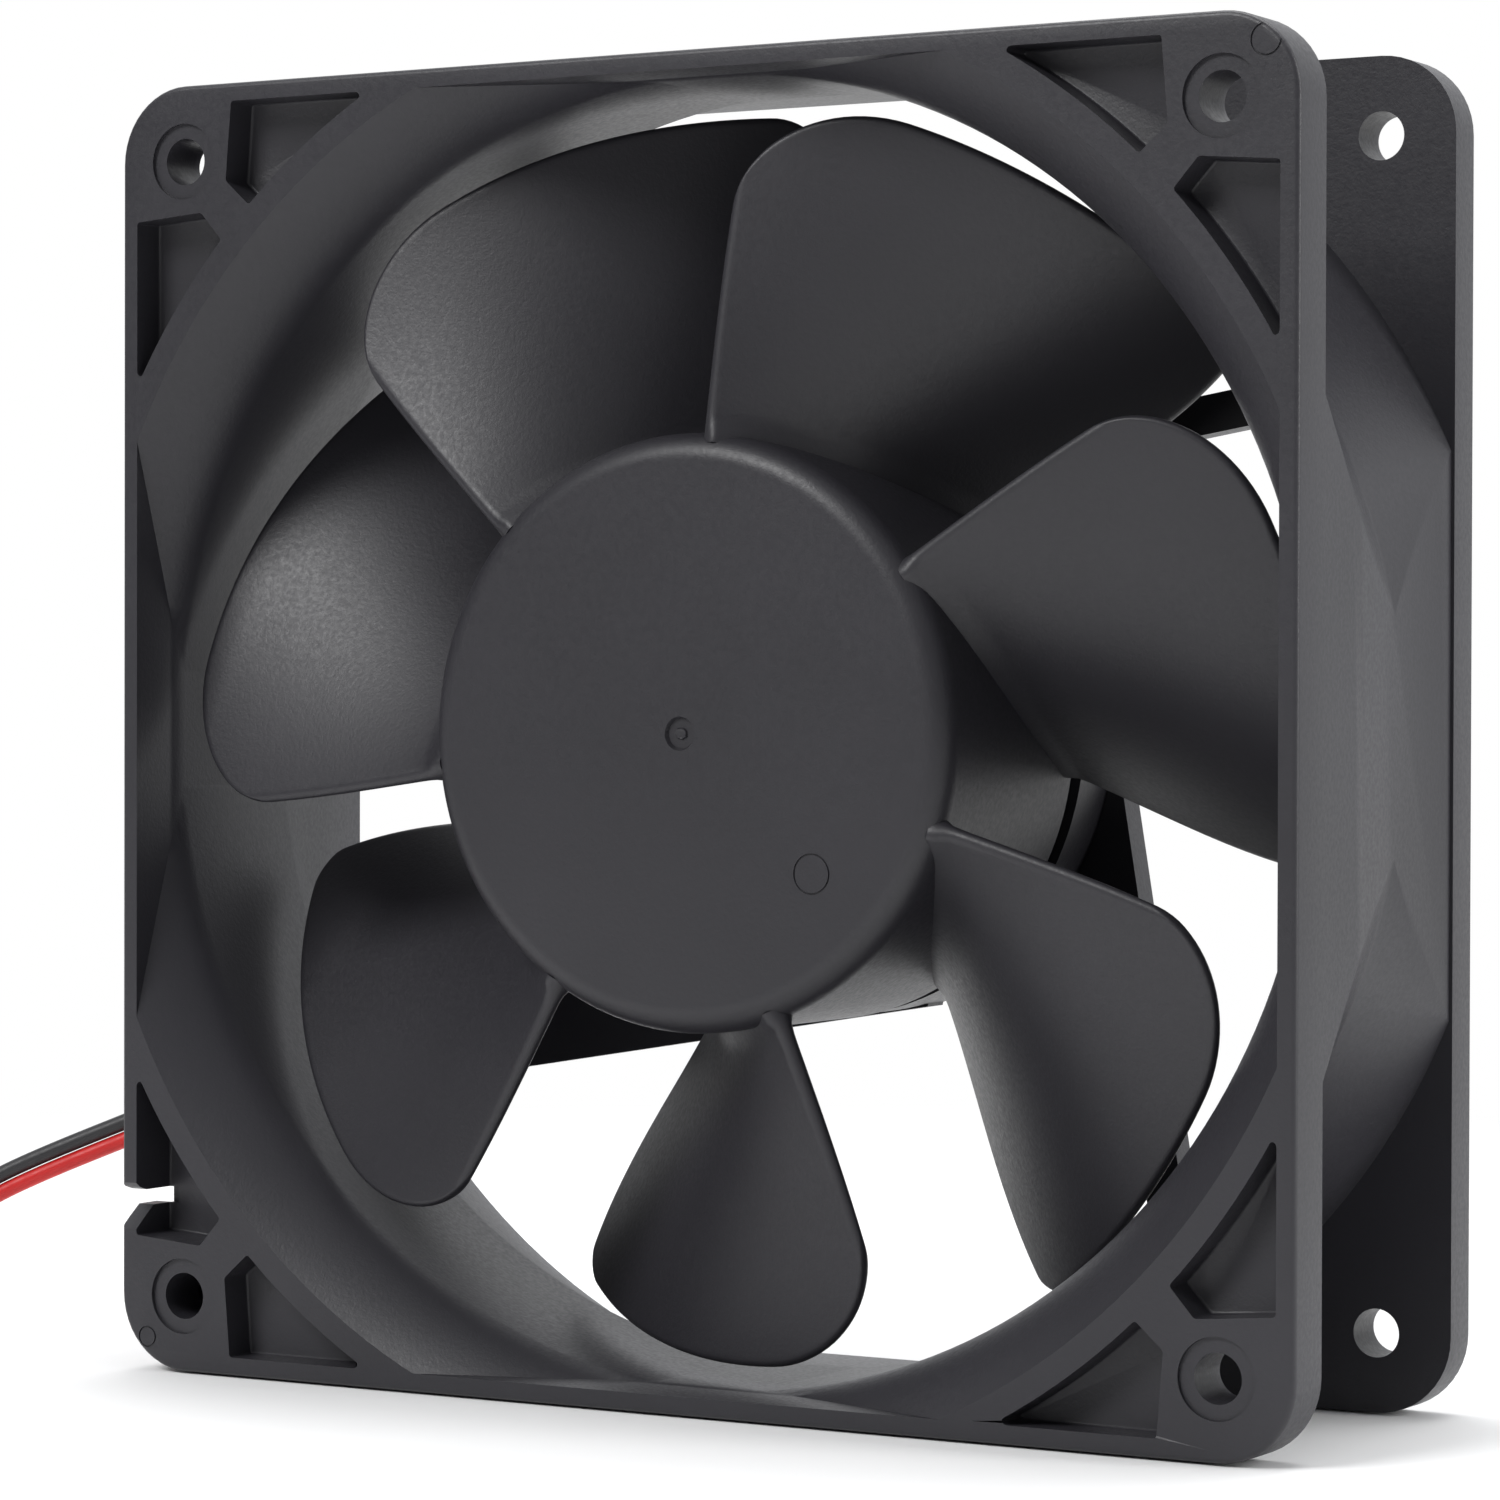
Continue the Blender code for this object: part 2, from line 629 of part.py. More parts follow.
def preload_spring(material):
    """A compression spring between the bush and the front bearing's inner race."""
    turns, per_turn, radius, wire = 3.5, 14, 2.75, 0.22
    start, end = SHAFT_FRONT + 3.4 + 0.3 + wire, BEARING_FRONTS["front"] - 0.3 - wire
    count = int(turns * per_turn)
    points = []
    for i in range(count + 1):
        angle = math.tau * turns * i / count
        depth = start + (end - start) * i / count
        points.append((radius * math.sin(angle), from_face(depth), radius * math.cos(angle)))
    return tube("preload_spring", points, wire, material, (0, 0, AXIS_HEIGHT), 1)


def ball_bearing(place, materials):
    """The two races and the balls in their cage."""
    front = BEARING_FRONTS[place]
    rear = front + BEARING_WIDTH
    name = f"{place}_bearing"
    pieces = {
        "inner": turned(f"{name}_inner_race", ring(2.15, 3.1, front, rear), materials["steel"], SMALL),
        "outer": turned(f"{name}_outer_race", ring(4.9, 5.85, front, rear), materials["steel"], SMALL),
    }
    middle = (front + rear) / 2
    cage = turned(f"{name}_ball_cage", ring(3.7, 4.3, middle - 1.1, middle + 0.4), materials["brass"], 28)
    for index in range(BALLS):
        bm = bmesh.new()
        bmesh.ops.create_uvsphere(bm, u_segments=8, v_segments=5, radius=BALL_RADIUS)
        angle = math.tau * index / BALLS
        offset = (BALL_CIRCLE * math.sin(angle), from_face(middle), BALL_CIRCLE * math.cos(angle))
        bmesh.ops.translate(bm, vec=offset, verts=bm.verts[:])
        boolean(cage, "UNION", finish(f"cutter_{place}_ball_{index}", bm, None))
    pieces["cage"] = cage
    return pieces


# Stator --------------------------------------------------------------------------------------------

def stator_outline(outer, neck, hub, tip_half_angle, tip_thick):
    """Four poles with wide tips round a hub ring."""
    outline = []
    half = neck / 2
    for index in range(4):
        turn = 90 * index
        root = math.degrees(math.asin(half / hub))
        under = math.degrees(math.asin(half / (outer - tip_thick)))
        outline += arc((0, 0), hub, turn - 45, turn - root, 4)
        outline += arc((0, 0), outer - tip_thick, turn - under, turn - tip_half_angle, 3)
        outline += arc((0, 0), outer, turn - tip_half_angle, turn + tip_half_angle, 8)
        outline += arc((0, 0), outer - tip_thick, turn + tip_half_angle, turn + under, 3)
        outline += arc((0, 0), hub, turn + root, turn + 40, 3)
    return outline


def stator_plate(name, outer, neck, hub, front, rear, material):
    plate = extruded(name, stator_outline(outer, neck, hub, 38, 1.8), front, rear, material)
    bore = [(0, front - 1), (TUBE_RADIUS + 0.3, front - 1), (TUBE_RADIUS + 0.3, rear + 1), (0, rear + 1)]
    return boolean(plate, "DIFFERENCE", turned(f"cutter_{name}", bore, None, SMALL, closed=False))


def winding(name, turn, material):
    """One closed coil round a pole's neck."""
    start, end = 10.3, 15.8
    inner_half = NECK_WIDTH / 2 + 0.5
    thick = 2.0
    front_in, rear_in = CORE_FRONT - 1.7, CORE_REAR + 1.7
    bm = bmesh.new()
    loops = []
    for radius in (start, end):
        for grow in (0.0, thick):
            half = inner_half + grow
            low, high = from_face(front_in - grow), from_face(rear_in + grow)
            cut = 0.5 + grow * 0.5
            corners = (
                (-half + cut, low), (half - cut, low), (half, low + cut), (half, high - cut),
                (half - cut, high), (-half + cut, high), (-half, high - cut), (-half, low + cut),
            )
            loops.append([bm.verts.new((x, y, radius)) for x, y in corners])
    inner_start, outer_start, inner_end, outer_end = loops
    for one, other in ((inner_start, outer_start), (outer_start, outer_end),
                       (outer_end, inner_end), (inner_end, inner_start)):
        for i in range(8):
            j = (i + 1) % 8
            bm.faces.new((one[i], one[j], other[j], other[i]))
    obj = finish(name, bm, material)
    obj.rotation_euler = (0, turn, 0)
    return obj


def stator_pieces(materials):
    stator_plate("stator_core", CORE_RADIUS, NECK_WIDTH, 10.0, CORE_FRONT, CORE_REAR, materials["lamination"])
    stator_plate("front_insulator", 18.9, 4.4, 9.6, CORE_FRONT - 1.3, CORE_FRONT - 0.3, materials["insulator"])
    stator_plate("rear_insulator", 18.9, 4.4, 9.6, CORE_REAR + 0.3, CORE_REAR + 1.3, materials["insulator"])
    for index in range(4):
        winding(f"winding_{index + 1}", index * math.pi / 2, materials["copper"])


def bearing_tube(material):
    front_seat = BEARING_FRONTS["front"] + BEARING_WIDTH + 0.3
    rear_seat = BEARING_FRONTS["rear"] - 0.3
    return turned("bearing_tube", [
        (TUBE_BORE, TUBE_FRONT), (TUBE_RADIUS, TUBE_FRONT), (TUBE_RADIUS, TUBE_REAR),
        (TUBE_BORE, TUBE_REAR), (TUBE_BORE, rear_seat), (TUBE_SHOULDER, rear_seat),
        (TUBE_SHOULDER, front_seat), (TUBE_BORE, front_seat),
    ], material, SMALL)


# Circuit board -------------------------------------------------------------------------------------

def small_part(name, radius, degrees, size, material, on_front, bevel=0.15):
    """A boxy component standing 0.3 mm off the board at a place given by radius and clock angle."""
    angle = math.radians(degrees)
    x, z = radius * math.sin(angle), radius * math.cos(angle)
    width, height, rise = size
    gap = 0.3
    near, far = (BOARD_FRONT - gap - rise, BOARD_FRONT - gap) if on_front else (
        BOARD_REAR + gap, BOARD_REAR + gap + rise)
    low = (x - width / 2, near, z - height / 2)
    high = (x + width / 2, far, z + height / 2)
    return block(name, low, high, material, bevel)


def board_pieces(materials):
    board = ring(TUBE_RADIUS + 0.4, BOARD_RADIUS, BOARD_FRONT, BOARD_REAR)
    turned("circuit_board", board, materials["board"], ROUND)
    small_part("hall_sensor", 21.6, 45, (3.0, 3.0, 2.6), materials["chip"], True)
    small_part("driver_chip", 15.5, 70, (5.0, 4.0, 1.5), materials["chip"], False)
    small_part("drive_transistor_1", 16.0, 120, (4.4, 3.8, 1.6), materials["chip"], False)
    small_part("drive_transistor_2", 16.0, 345, (4.4, 3.8, 1.6), materials["chip"], False)
    small_part("polarity_diode", 16.5, 255, (3.6, 2.2, 1.5), materials["chip"], False)
    small_part("resistor_1", 15.0, 20, (2.0, 1.2, 0.6), materials["resistor"], False, 0.08)
    small_part("resistor_2", 19.5, 35, (2.0, 1.2, 0.6), materials["resistor"], False, 0.08)
    small_part("resistor_3", 19.5, 150, (2.0, 1.2, 0.6), materials["resistor"], False, 0.08)
    small_part("smoothing_capacitor", 16.5, 300, (3.4, 3.4, 3.2), materials["capacitor"], False, 0.4)


def rear_label(material):
    recess = BASE_REAR - LABEL_RECESS
    disc = [(0, recess + 0.3), (19.4, recess + 0.3), (19.4, recess + 0.5), (0, recess + 0.5)]
    return turned("rear_label", disc, material, ROUND, closed=False)


# Leads ---------------------------------------------------------------------------------------------

def catmull(points, spacing):
    """Evenly spaced points on a smooth curve through the route's points."""
    route = [Vector(p) for p in points]
    route = [route[0] * 2 - route[1]] + route + [route[-1] * 2 - route[-2]]
    fine = []
    per_span = 24
    for i in range(1, len(route) - 2):
        before, start, end, after = route[i - 1:i + 3]
        for step in range(per_span):
            t = step / per_span
            fine.append(0.5 * (
                2 * start + (end - before) * t + (2 * before - 5 * start + 4 * end - after) * t ** 2
                + (3 * start - before - 3 * end + after) * t ** 3
            ))
    fine.append(route[-2])
    lengths = [0.0]
    for one, other in zip(fine, fine[1:]):
        lengths.append(lengths[-1] + (other - one).length)
    count = max(2, round(lengths[-1] / spacing))
    even, at = [], 0
    for i in range(count + 1):
        target = lengths[-1] * i / count
        while at < len(fine) - 2 and lengths[at + 1] < target:
            at += 1
        part = (target - lengths[at]) / max(1e-9, lengths[at + 1] - lengths[at])
        even.append(fine[at].lerp(fine[at + 1], min(1.0, part)))
    return even


def tube(name, points, radius, material, location=(0, 0, 0), resolution=LEAD_SIDES):
    """A round bar along points, as a curve with filled ends."""
    curve = bpy.data.curves.new(name, "CURVE")
    curve.dimensions = "3D"
    curve.bevel_depth = radius * MM
    curve.bevel_resolution = resolution
    curve.use_fill_caps = True
    spline = curve.splines.new("POLY")
    spline.points.add(len(points) - 1)
    for target, point in zip(spline.points, points):
        target.co = (*(Vector(point) * MM), 1.0)
        target.radius = 1.0
    curve.materials.append(material)
    obj = bpy.data.objects.new(name, curve)
    obj.location = Vector(location) * MM
    bpy.context.scene.collection.objects.link(obj)
    return obj


def in_world(out, by, depth):
    """A point beside the lower strut, as world coordinates in millimetres."""
    x, z = strut_point(out, by)
    return (x, from_face(depth), AXIS_HEIGHT + z)


LEAD_OUT = {"black": 21.9, "red": 23.9}
HELD_END = 61.5
FREE_START = HELD_END + 0.3
EXIT_DEPTH = 31.4


def held_route(colour):
    """From the board's solder pad, through the strut's channel and out of the duct."""
    out = LEAD_OUT[colour]
    pad = {"black": ((18.0, -3.0), (20.6, 0.6)), "red": ((20.5, -8.0), (22.6, -3.5))}[colour]
    route = [in_world(*pad[0], 32.3), in_world(*pad[1], 32.6), in_world(out, 4, 34.1)]
    for along_by, depth in ((9.5, 36.3), (20, 36.4), (32, 36.4), (44, 36.3), (50, 34.2), (56, 31.75), (58.5, 31.47)):
        route.append(in_world(out, along_by, depth))
    route.append(in_world(out, HELD_END, EXIT_DEPTH))
    return route


def coil_level(colour):
    """Height of a coil layer's centre: the red one lies under the black one."""
    bottom = COIL_LIFT + LEAD_RADIUS
    return bottom if colour == "red" else bottom + 2 * LEAD_RADIUS + LAYER_GAP


COIL_FIRST_TURN = COIL_RADIUS + COIL_TURNS * COIL_PITCH / 2
COIL_OUTSIDE = COIL_FIRST_TURN + LEAD_RADIUS
COIL_INSIDE = COIL_RADIUS - COIL_TURNS * COIL_PITCH / 2 - LEAD_RADIUS


def coil_touch(colour):
    """Where a lead meets the coil's outer turn, heading towards -X."""
    return (COIL_CENTRE[0], COIL_CENTRE[1] + COIL_FIRST_TURN, coil_level(colour))


def free_route(colour):
    """From the duct, out between the flanges and down to the coil."""
    lift = 0.0 if colour == "red" else 1.9
    exit_point = in_world(LEAD_OUT[colour], FREE_START, EXIT_DEPTH)
    ahead = in_world(LEAD_OUT[colour], FREE_START + 5, EXIT_DEPTH - 0.6)
    route = [exit_point, ahead]
    route += [
        (-70.0, 10.2, 21.8 + lift), (-79.0, 7.0, 18.2 + lift), (-90.5, 2.6, 12.9 + 1.04 * lift),
        (-98.5, -0.9, 7.6 + 1.15 * lift), (-105.0, -2.9, 3.6 + 1.12 * lift),
    ]
    touch = coil_touch(colour)
    route.append((touch[0] + 3.5, touch[1] + 0.3, touch[2] + 0.2))
    route.append(touch)
    return route


CONNECTOR_FRONT = -34.5
CONNECTOR_REAR = -42.5
CONNECTOR_X = -112.0
CONNECTOR_HALF_WIDTH = 3.7
CONNECTOR_HEIGHT = 5.6
PIN_PITCH = 2.5
CAVITY_HALF = 1.05


def tail_route(colour):
    """From the middle of the coil up over its turns and down into the connector."""
    side = 1 if colour == "red" else -1
    if colour == "red":
        rise = [(-2.6, 0.8, 1.9), (-1.7, -1.2, 3.2), (-0.4, -3.0, 4.7), (0.6, -5.0, 5.5)]
    else:
        rise = [(-2.6, 0.8, 4.2), (-2.8, -1.2, 4.9), (-2.5, -3.2, 5.4), (-2.0, -5.2, 5.5)]
    over = [(1.2 * side, -8.5, 5.5), (1.3 * side, -12.0, 5.5), (1.3 * side, -14.5, 4.9), (1.3 * side, -17.2, 3.5)]
    x, y = COIL_CENTRE
    middle = CONNECTOR_HEIGHT / 2
    pin_x = CONNECTOR_X + side * PIN_PITCH / 2
    route = [(x + across, y + along, height) for across, along, height in rise + over]
    route += [(pin_x, CONNECTOR_FRONT + 0.3, middle + 0.1), (pin_x, CONNECTOR_FRONT - 2.2, middle)]
    return route


def flat_ring(name, centre, inner, outer, low, high, material, segments=SMALL):
    """A ring lying on its side: a turned solid about a vertical axis."""
    bm = bmesh.new()
    profile = ((inner, low), (outer, low), (outer, high), (inner, high))
    verts = [bm.verts.new((radius, 0, z)) for radius, z in profile]
    edges = [bm.edges.new((verts[i], verts[(i + 1) % 4])) for i in range(4)]
    bmesh.ops.spin(bm, geom=verts + edges, cent=(0, 0, 0), axis=(0, 0, 1), angle=math.tau,
                   steps=segments, use_merge=True)
    return finish(name, bm, material, (*centre, 0))


def coil_tie(material):
    """A band round both layers of the coil, on the side away from the fan."""
    gap, thick, half_width = 0.3, 0.4, 1.2
    inner, outer = COIL_INSIDE, COIL_OUTSIDE
    low, high = COIL_LIFT, coil_level("black") + LEAD_RADIUS
    bm = bmesh.new()
    loops = []
    for y in (-half_width, half_width):
        for grow in (gap, gap + thick):
            corners = ((-outer - grow, low - grow), (-inner + grow, low - grow),
                       (-inner + grow, high + grow), (-outer - grow, high + grow))
            loops.append([bm.verts.new((x, y, z)) for x, z in corners])
    inner_near, outer_near, inner_far, outer_far = loops
    for one, other in ((inner_near, outer_near), (outer_near, outer_far),
                       (outer_far, inner_far), (inner_far, inner_near)):
        for i in range(4):
            j = (i + 1) % 4
            bm.faces.new((one[i], one[j], other[j], other[i]))
    return finish("coil_tie", bm, material, (*COIL_CENTRE, 0))


def plain_box(name, low, high, material):
    """A box given by its world corners in millimetres."""
    bm = bmesh.new()
    bmesh.ops.create_cube(bm, size=1.0)
    bmesh.ops.scale(bm, vec=[high[i] - low[i] for i in range(3)], verts=bm.verts[:])
    middle = [(high[i] + low[i]) / 2 for i in range(3)]
    return finish(name, bm, material, middle)


def connector(materials):
    """A two-way crimp housing with a terminal in each cavity."""
    low = (CONNECTOR_X - CONNECTOR_HALF_WIDTH, CONNECTOR_REAR, 0.0)
    high = (CONNECTOR_X + CONNECTOR_HALF_WIDTH, CONNECTOR_FRONT, CONNECTOR_HEIGHT)
    housing = plain_box("connector_housing", low, high, materials["connector"])
    middle = CONNECTOR_HEIGHT / 2
    for side, colour in ((1, "red"), (-1, "black")):
        x = CONNECTOR_X + side * PIN_PITCH / 2
        cavity = plain_box(
            f"cutter_cavity_{colour}",
            (x - CAVITY_HALF, CONNECTOR_REAR - 1, middle - CAVITY_HALF),
            (x + CAVITY_HALF, CONNECTOR_FRONT + 1, middle + CAVITY_HALF), None,
        )
        boolean(housing, "DIFFERENCE", cavity)
        terminal = plain_box(
            f"crimp_terminal_{colour}",
            (x - 0.7, CONNECTOR_REAR + 0.5, middle - 0.7),
            (x + 0.7, CONNECTOR_FRONT - 2.5, middle + 0.7), materials["tin"],
        )
        socket = plain_box(
            f"cutter_socket_{colour}",
            (x - 0.35, CONNECTOR_REAR - 1, middle - 0.35),
            (x + 0.35, CONNECTOR_REAR + 3.5, middle + 0.35), None,
        )
        boolean(terminal, "DIFFERENCE", socket)


def lead_sleeve(material):
    """A short flat sleeve round both leads where they pass the duct's wall."""
    inner_low, inner_high = LEAD_OUT["black"] - LEAD_RADIUS - 0.3, LEAD_OUT["red"] + LEAD_RADIUS + 0.3
    start, end = 56.5, 61.0
    middle = (inner_low + inner_high) / 2
    half_wide = (inner_high - inner_low) / 2
    half_thick = LEAD_RADIUS + 0.3
    wall = 0.5
    bm = bmesh.new()
    loops = []
    for by in (start, end):
        for grow in (0.0, wall):
            wide, thick = half_wide + grow, half_thick + grow
            cut = 0.6 * thick
            shape = (
                (-wide + cut, -thick), (wide - cut, -thick), (wide, -thick + cut), (wide, thick - cut),
                (wide - cut, thick), (-wide + cut, thick), (-wide, thick - cut), (-wide, -thick + cut),
            )
            slope = 0.2 * (HELD_END - by) / 8.5
            loops.append([
                bm.verts.new(Vector(in_world(middle + a, by, EXIT_DEPTH + slope + b)) - Vector((0, 0, AXIS_HEIGHT)))
                for a, b in shape
            ])
    inner_start, outer_start, inner_end, outer_end = loops
    for one, other in ((inner_start, outer_start), (outer_start, outer_end),
                       (outer_end, inner_end), (inner_end, inner_start)):
        for i in range(8):
            j = (i + 1) % 8
            bm.faces.new((one[i], one[j], other[j], other[i]))
    return finish("lead_sleeve", bm, material)


def leads(materials):
    for colour in ("red", "black"):
        material = materials[f"{colour}_insulation"]
        tube(f"lead_{colour}_inside", catmull(held_route(colour), 3.5), LEAD_RADIUS, material)
        free = catmull(free_route(colour), 3.2)
        tube(f"lead_{colour}", trimmed(free), LEAD_RADIUS, material)
        level = coil_level(colour)
        flat_ring(f"lead_coil_{colour}", COIL_CENTRE, COIL_INSIDE, COIL_OUTSIDE,
                  level - LEAD_RADIUS, level + LEAD_RADIUS, material)
        tube(f"lead_{colour}_tail", catmull(tail_route(colour), 3.2), LEAD_RADIUS, material)


def trimmed(points):
    """The points up to where the lead comes within a gap of the coil's solid."""
    clear = COIL_OUTSIDE + LEAD_RADIUS + 0.35
    kept = [p for p in points if math.hypot(p.x - COIL_CENTRE[0], p.y - COIL_CENTRE[1]) > clear]
    return kept


# The whole fan -------------------------------------------------------------------------------------

def main():
    for obj in list(bpy.data.objects):
        bpy.data.objects.remove(obj, do_unlink=True)
    materials = make_materials()
    frame_housing(materials["frame_plastic"])
    impeller(materials["impeller_plastic"])
    rotor_pieces(materials)
    preload_spring(materials["steel"])
    for place in BEARING_FRONTS:
        ball_bearing(place, materials)
    bearing_tube(materials["brass"])
    stator_pieces(materials)
    board_pieces(materials)
    rear_label(materials["label"])
    lead_sleeve(materials["black_insulation"])
    leads(materials)
    coil_tie(materials["tie"])
    connector(materials)


main()
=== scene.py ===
"""Looks of a square axial case fan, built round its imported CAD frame."""

import json
import math

import bmesh
import bpy
from mathutils import Matrix, Vector


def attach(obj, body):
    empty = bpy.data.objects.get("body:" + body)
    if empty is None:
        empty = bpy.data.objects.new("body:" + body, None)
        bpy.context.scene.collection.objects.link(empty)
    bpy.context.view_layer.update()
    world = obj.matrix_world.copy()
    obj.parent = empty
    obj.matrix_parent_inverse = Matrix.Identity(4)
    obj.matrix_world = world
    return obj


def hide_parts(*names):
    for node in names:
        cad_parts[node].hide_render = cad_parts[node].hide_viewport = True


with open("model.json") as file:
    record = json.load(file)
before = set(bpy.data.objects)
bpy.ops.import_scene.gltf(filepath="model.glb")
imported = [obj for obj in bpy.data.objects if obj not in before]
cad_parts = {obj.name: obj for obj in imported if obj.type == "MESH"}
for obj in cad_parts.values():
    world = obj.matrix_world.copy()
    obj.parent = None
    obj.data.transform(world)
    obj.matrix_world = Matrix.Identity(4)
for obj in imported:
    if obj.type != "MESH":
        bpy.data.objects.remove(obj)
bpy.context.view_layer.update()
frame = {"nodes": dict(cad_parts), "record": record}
nodes = frame["nodes"]

MM = 0.001

# Sizes in millimetres, as in the CAD. A depth is counted from the intake face, a radius from the axis.
SIDE = 119.0
DEPTH = 38.0
AXIS_HEIGHT = SIDE / 2
CORNER_RADIUS = 7.0
FRONT_FLANGE = 5.4
REAR_FLANGE = 4.5
REAR_FLANGE_DEPTH = DEPTH - REAR_FLANGE
FLAT_INSIDE = 57.8
FLAT_INSIDE_REAR = 58.9
FLAT_OUTSIDE = 59.2
BORE_RADIUS = 58.05
MOUTH_RADIUS = 63.7
BELL_DEPTH = 7.5
BELL_POWER = 1.7
REAR_CONE_START = 23.5
DUCT_WAIST_RADIUS = 60.1
DUCT_WAIST_DEPTH = 21.0
DUCT_FRONT_RADIUS = 66.0
DUCT_REAR_RADIUS = 64.2
HOLE_SPACING = 105.0
HOLE_RADIUS = 2.15
RING_RADIUS = 3.5
RING_DEPTH = 0.35
POCKET_EDGE = 57.8
POCKET_ARC_RADIUS = 66.0
POCKET_ROUND = 0.6
FRONT_POCKET_DEPTH = 3.4
LEAD_POCKET_DEPTH = 5.2
LEAD_POCKET_FLOOR = 6.2
REAR_POCKET_DEPTH = 3.4
BASE_RADIUS = 26.2
BASE_INNER_RADIUS = 24.6
BASE_FRONT = 28.6
BASE_REAR = 37.5
BASE_FLOOR = 35.5
BASE_HOLE_RADIUS = 7.4
LABEL_RECESS_RADIUS = 20.0
LABEL_RECESS = 0.6
STRUT_TILT = math.radians(9.5)
STRUT_SPANS = ((19.6, 26.3), (22.4, 26.0), (20.6, 24.1), (22.4, 26.0))
CHANNEL_FRONT = 35.3
STRUT_FRONT = 34.4
STRUT_REAR = 37.4
STRUT_END_RADIUS = 65.4

HUB_RADIUS = 26.4
HUB_FRONT = 1.8
HUB_REAR = 26.4
HUB_ROUND = 2.5
HUB_WALL = 1.6
HUB_TOP = 1.8
BLADES = 7
TIP_RADIUS = 56.2
LEAD_ANGLE_ROOT = math.radians(4.9)
LEAD_ANGLE_MIDDLE = math.radians(4.55)
LEAD_ANGLE_TIP = math.radians(5.75)
SWEEP_ROOT = math.radians(41.9)
SWEEP_MIDDLE = math.radians(47.4)
SWEEP_TIP = math.radians(45.8)
LEAD_DEPTH_ROOT = 2.4
LEAD_DEPTH_TIP = 4.8
TRAIL_DEPTH_ENDS = 25.7
TRAIL_DEPTH_MIDDLE = 27.0
CAMBER_ROOT = 0.66
CAMBER_TIP = 0.45
BLADE_THICK_ROOT = 2.0
BLADE_THICK_TIP = 1.3
TIP_ROUND_CHORD = 14.0
TIP_ROUND_RADIAL = 10.0
TAIL_ROUND = 3.0

LEAD_RADIUS = 0.8
COIL_CENTRE = (-112.0, -14.6)
COIL_RADIUS = 8.25
COIL_TURNS = 4
COIL_LIFT = 0.8
COIL_PITCH = 1.6
LAYER_GAP = 0.3
CONNECTOR_FRONT = -34.5
CONNECTOR_X = -112.0
CONNECTOR_HEIGHT = 5.6
PIN_PITCH = 2.5
LEAD_OUT = {"black": 21.9, "red": 23.9}
FREE_START = 61.8
EXIT_DEPTH = 31.4

FINE = 192


# Camera --------------------------------------------------------------------------------------------

def add_camera():
    yaw, pitch, roll = math.radians(30.13), math.radians(-0.75), math.radians(0.15)
    forward = Vector((-math.sin(yaw) * math.cos(pitch), math.cos(yaw) * math.cos(pitch), math.sin(pitch)))
    right = forward.cross(Vector((0, 0, 1))).normalized()
    up = right.cross(forward)
    rolled = right * math.cos(roll) + up * math.sin(roll)
    above = rolled.cross(forward)
    data = bpy.data.cameras.new("camera")
    data.sensor_width = 36
    data.lens = 117.6
    data.clip_start = 0.01
    data.clip_end = 20
    camera = bpy.data.objects.new("camera", data)
    place = Matrix((rolled, above, -forward)).transposed().to_4x4()
    place.translation = Vector((0.2205, -0.3848, 0.0637))
    camera.matrix_world = place
    bpy.context.scene.collection.objects.link(camera)
    bpy.context.scene.camera = camera


# Materials -----------------------------------------------------------------------------------------

class Graph:
    """Short names for the nodes of one material."""

    def __init__(self, name):
        self.material = bpy.data.materials.new(name)
        self.material.use_nodes = True
        self.tree = self.material.node_tree
        self.shader = self.tree.nodes["Principled BSDF"]
        self.place = self.add("ShaderNodeTexCoord").outputs["Object"]

    def add(self, kind, **values):
        node = self.tree.nodes.new(kind)
        for key, value in values.items():
            setattr(node, key, value)
        return node

    def link(self, source, target):
        self.tree.links.new(source, target)

    def noise(self, scale, detail=3.0, rough=0.5, place=None):
        node = self.add("ShaderNodeTexNoise")
        node.inputs["Scale"].default_value = scale
        node.inputs["Detail"].default_value = detail
        node.inputs["Roughness"].default_value = rough
        self.link(place or self.place, node.inputs["Vector"])
        return node.outputs["Fac"]

    def spread(self, value, low, high, start=0.3, end=0.7):
        node = self.add("ShaderNodeMapRange")
        node.inputs["From Min"].default_value = start
        node.inputs["From Max"].default_value = end
        node.inputs["To Min"].default_value = low
        node.inputs["To Max"].default_value = high
        self.link(value, node.inputs["Value"])
        return node.outputs["Result"]

    def blend(self, factor, one, two):
        node = self.add("ShaderNodeMix", data_type="RGBA")
        self.link(factor, node.inputs[0])
        for socket, colour in ((node.inputs[6], one), (node.inputs[7], two)):
            if isinstance(colour, tuple):
                socket.default_value = (*colour, 1.0)
            else:
                self.link(colour, socket)
        return node.outputs[2]

    def bump(self, height, distance, strength=1.0, below=None):
        node = self.add("ShaderNodeBump")
        node.inputs["Distance"].default_value = distance
        node.inputs["Strength"].default_value = strength
        self.link(height, node.inputs["Height"])
        if below:
            self.link(below, node.inputs["Normal"])
        return node.outputs["Normal"]


def moulded_plastic(name, dark, light, roughness, grain=1.0):
    """Moulded charcoal plastic: a fine spark-eroded grain, and slow drifts of tone and gloss."""
    g = Graph(name)
    slow = g.noise(45, 2)
    fine = g.noise(5200, 2, 0.6)
    speck = g.noise(2300, 1, 0.5)
    g.link(g.blend(g.spread(slow, 0, 1), dark, light), g.shader.inputs["Base Color"])
    g.link(g.spread(speck, roughness - 0.04, roughness + 0.05), g.shader.inputs["Roughness"])
    rough = g.bump(fine, 0.00002 * grain, 0.6)
    g.link(g.bump(speck, 0.00003 * grain, 0.5, rough), g.shader.inputs["Normal"])
    g.shader.inputs["Specular IOR Level"].default_value = 0.45
    return g.material


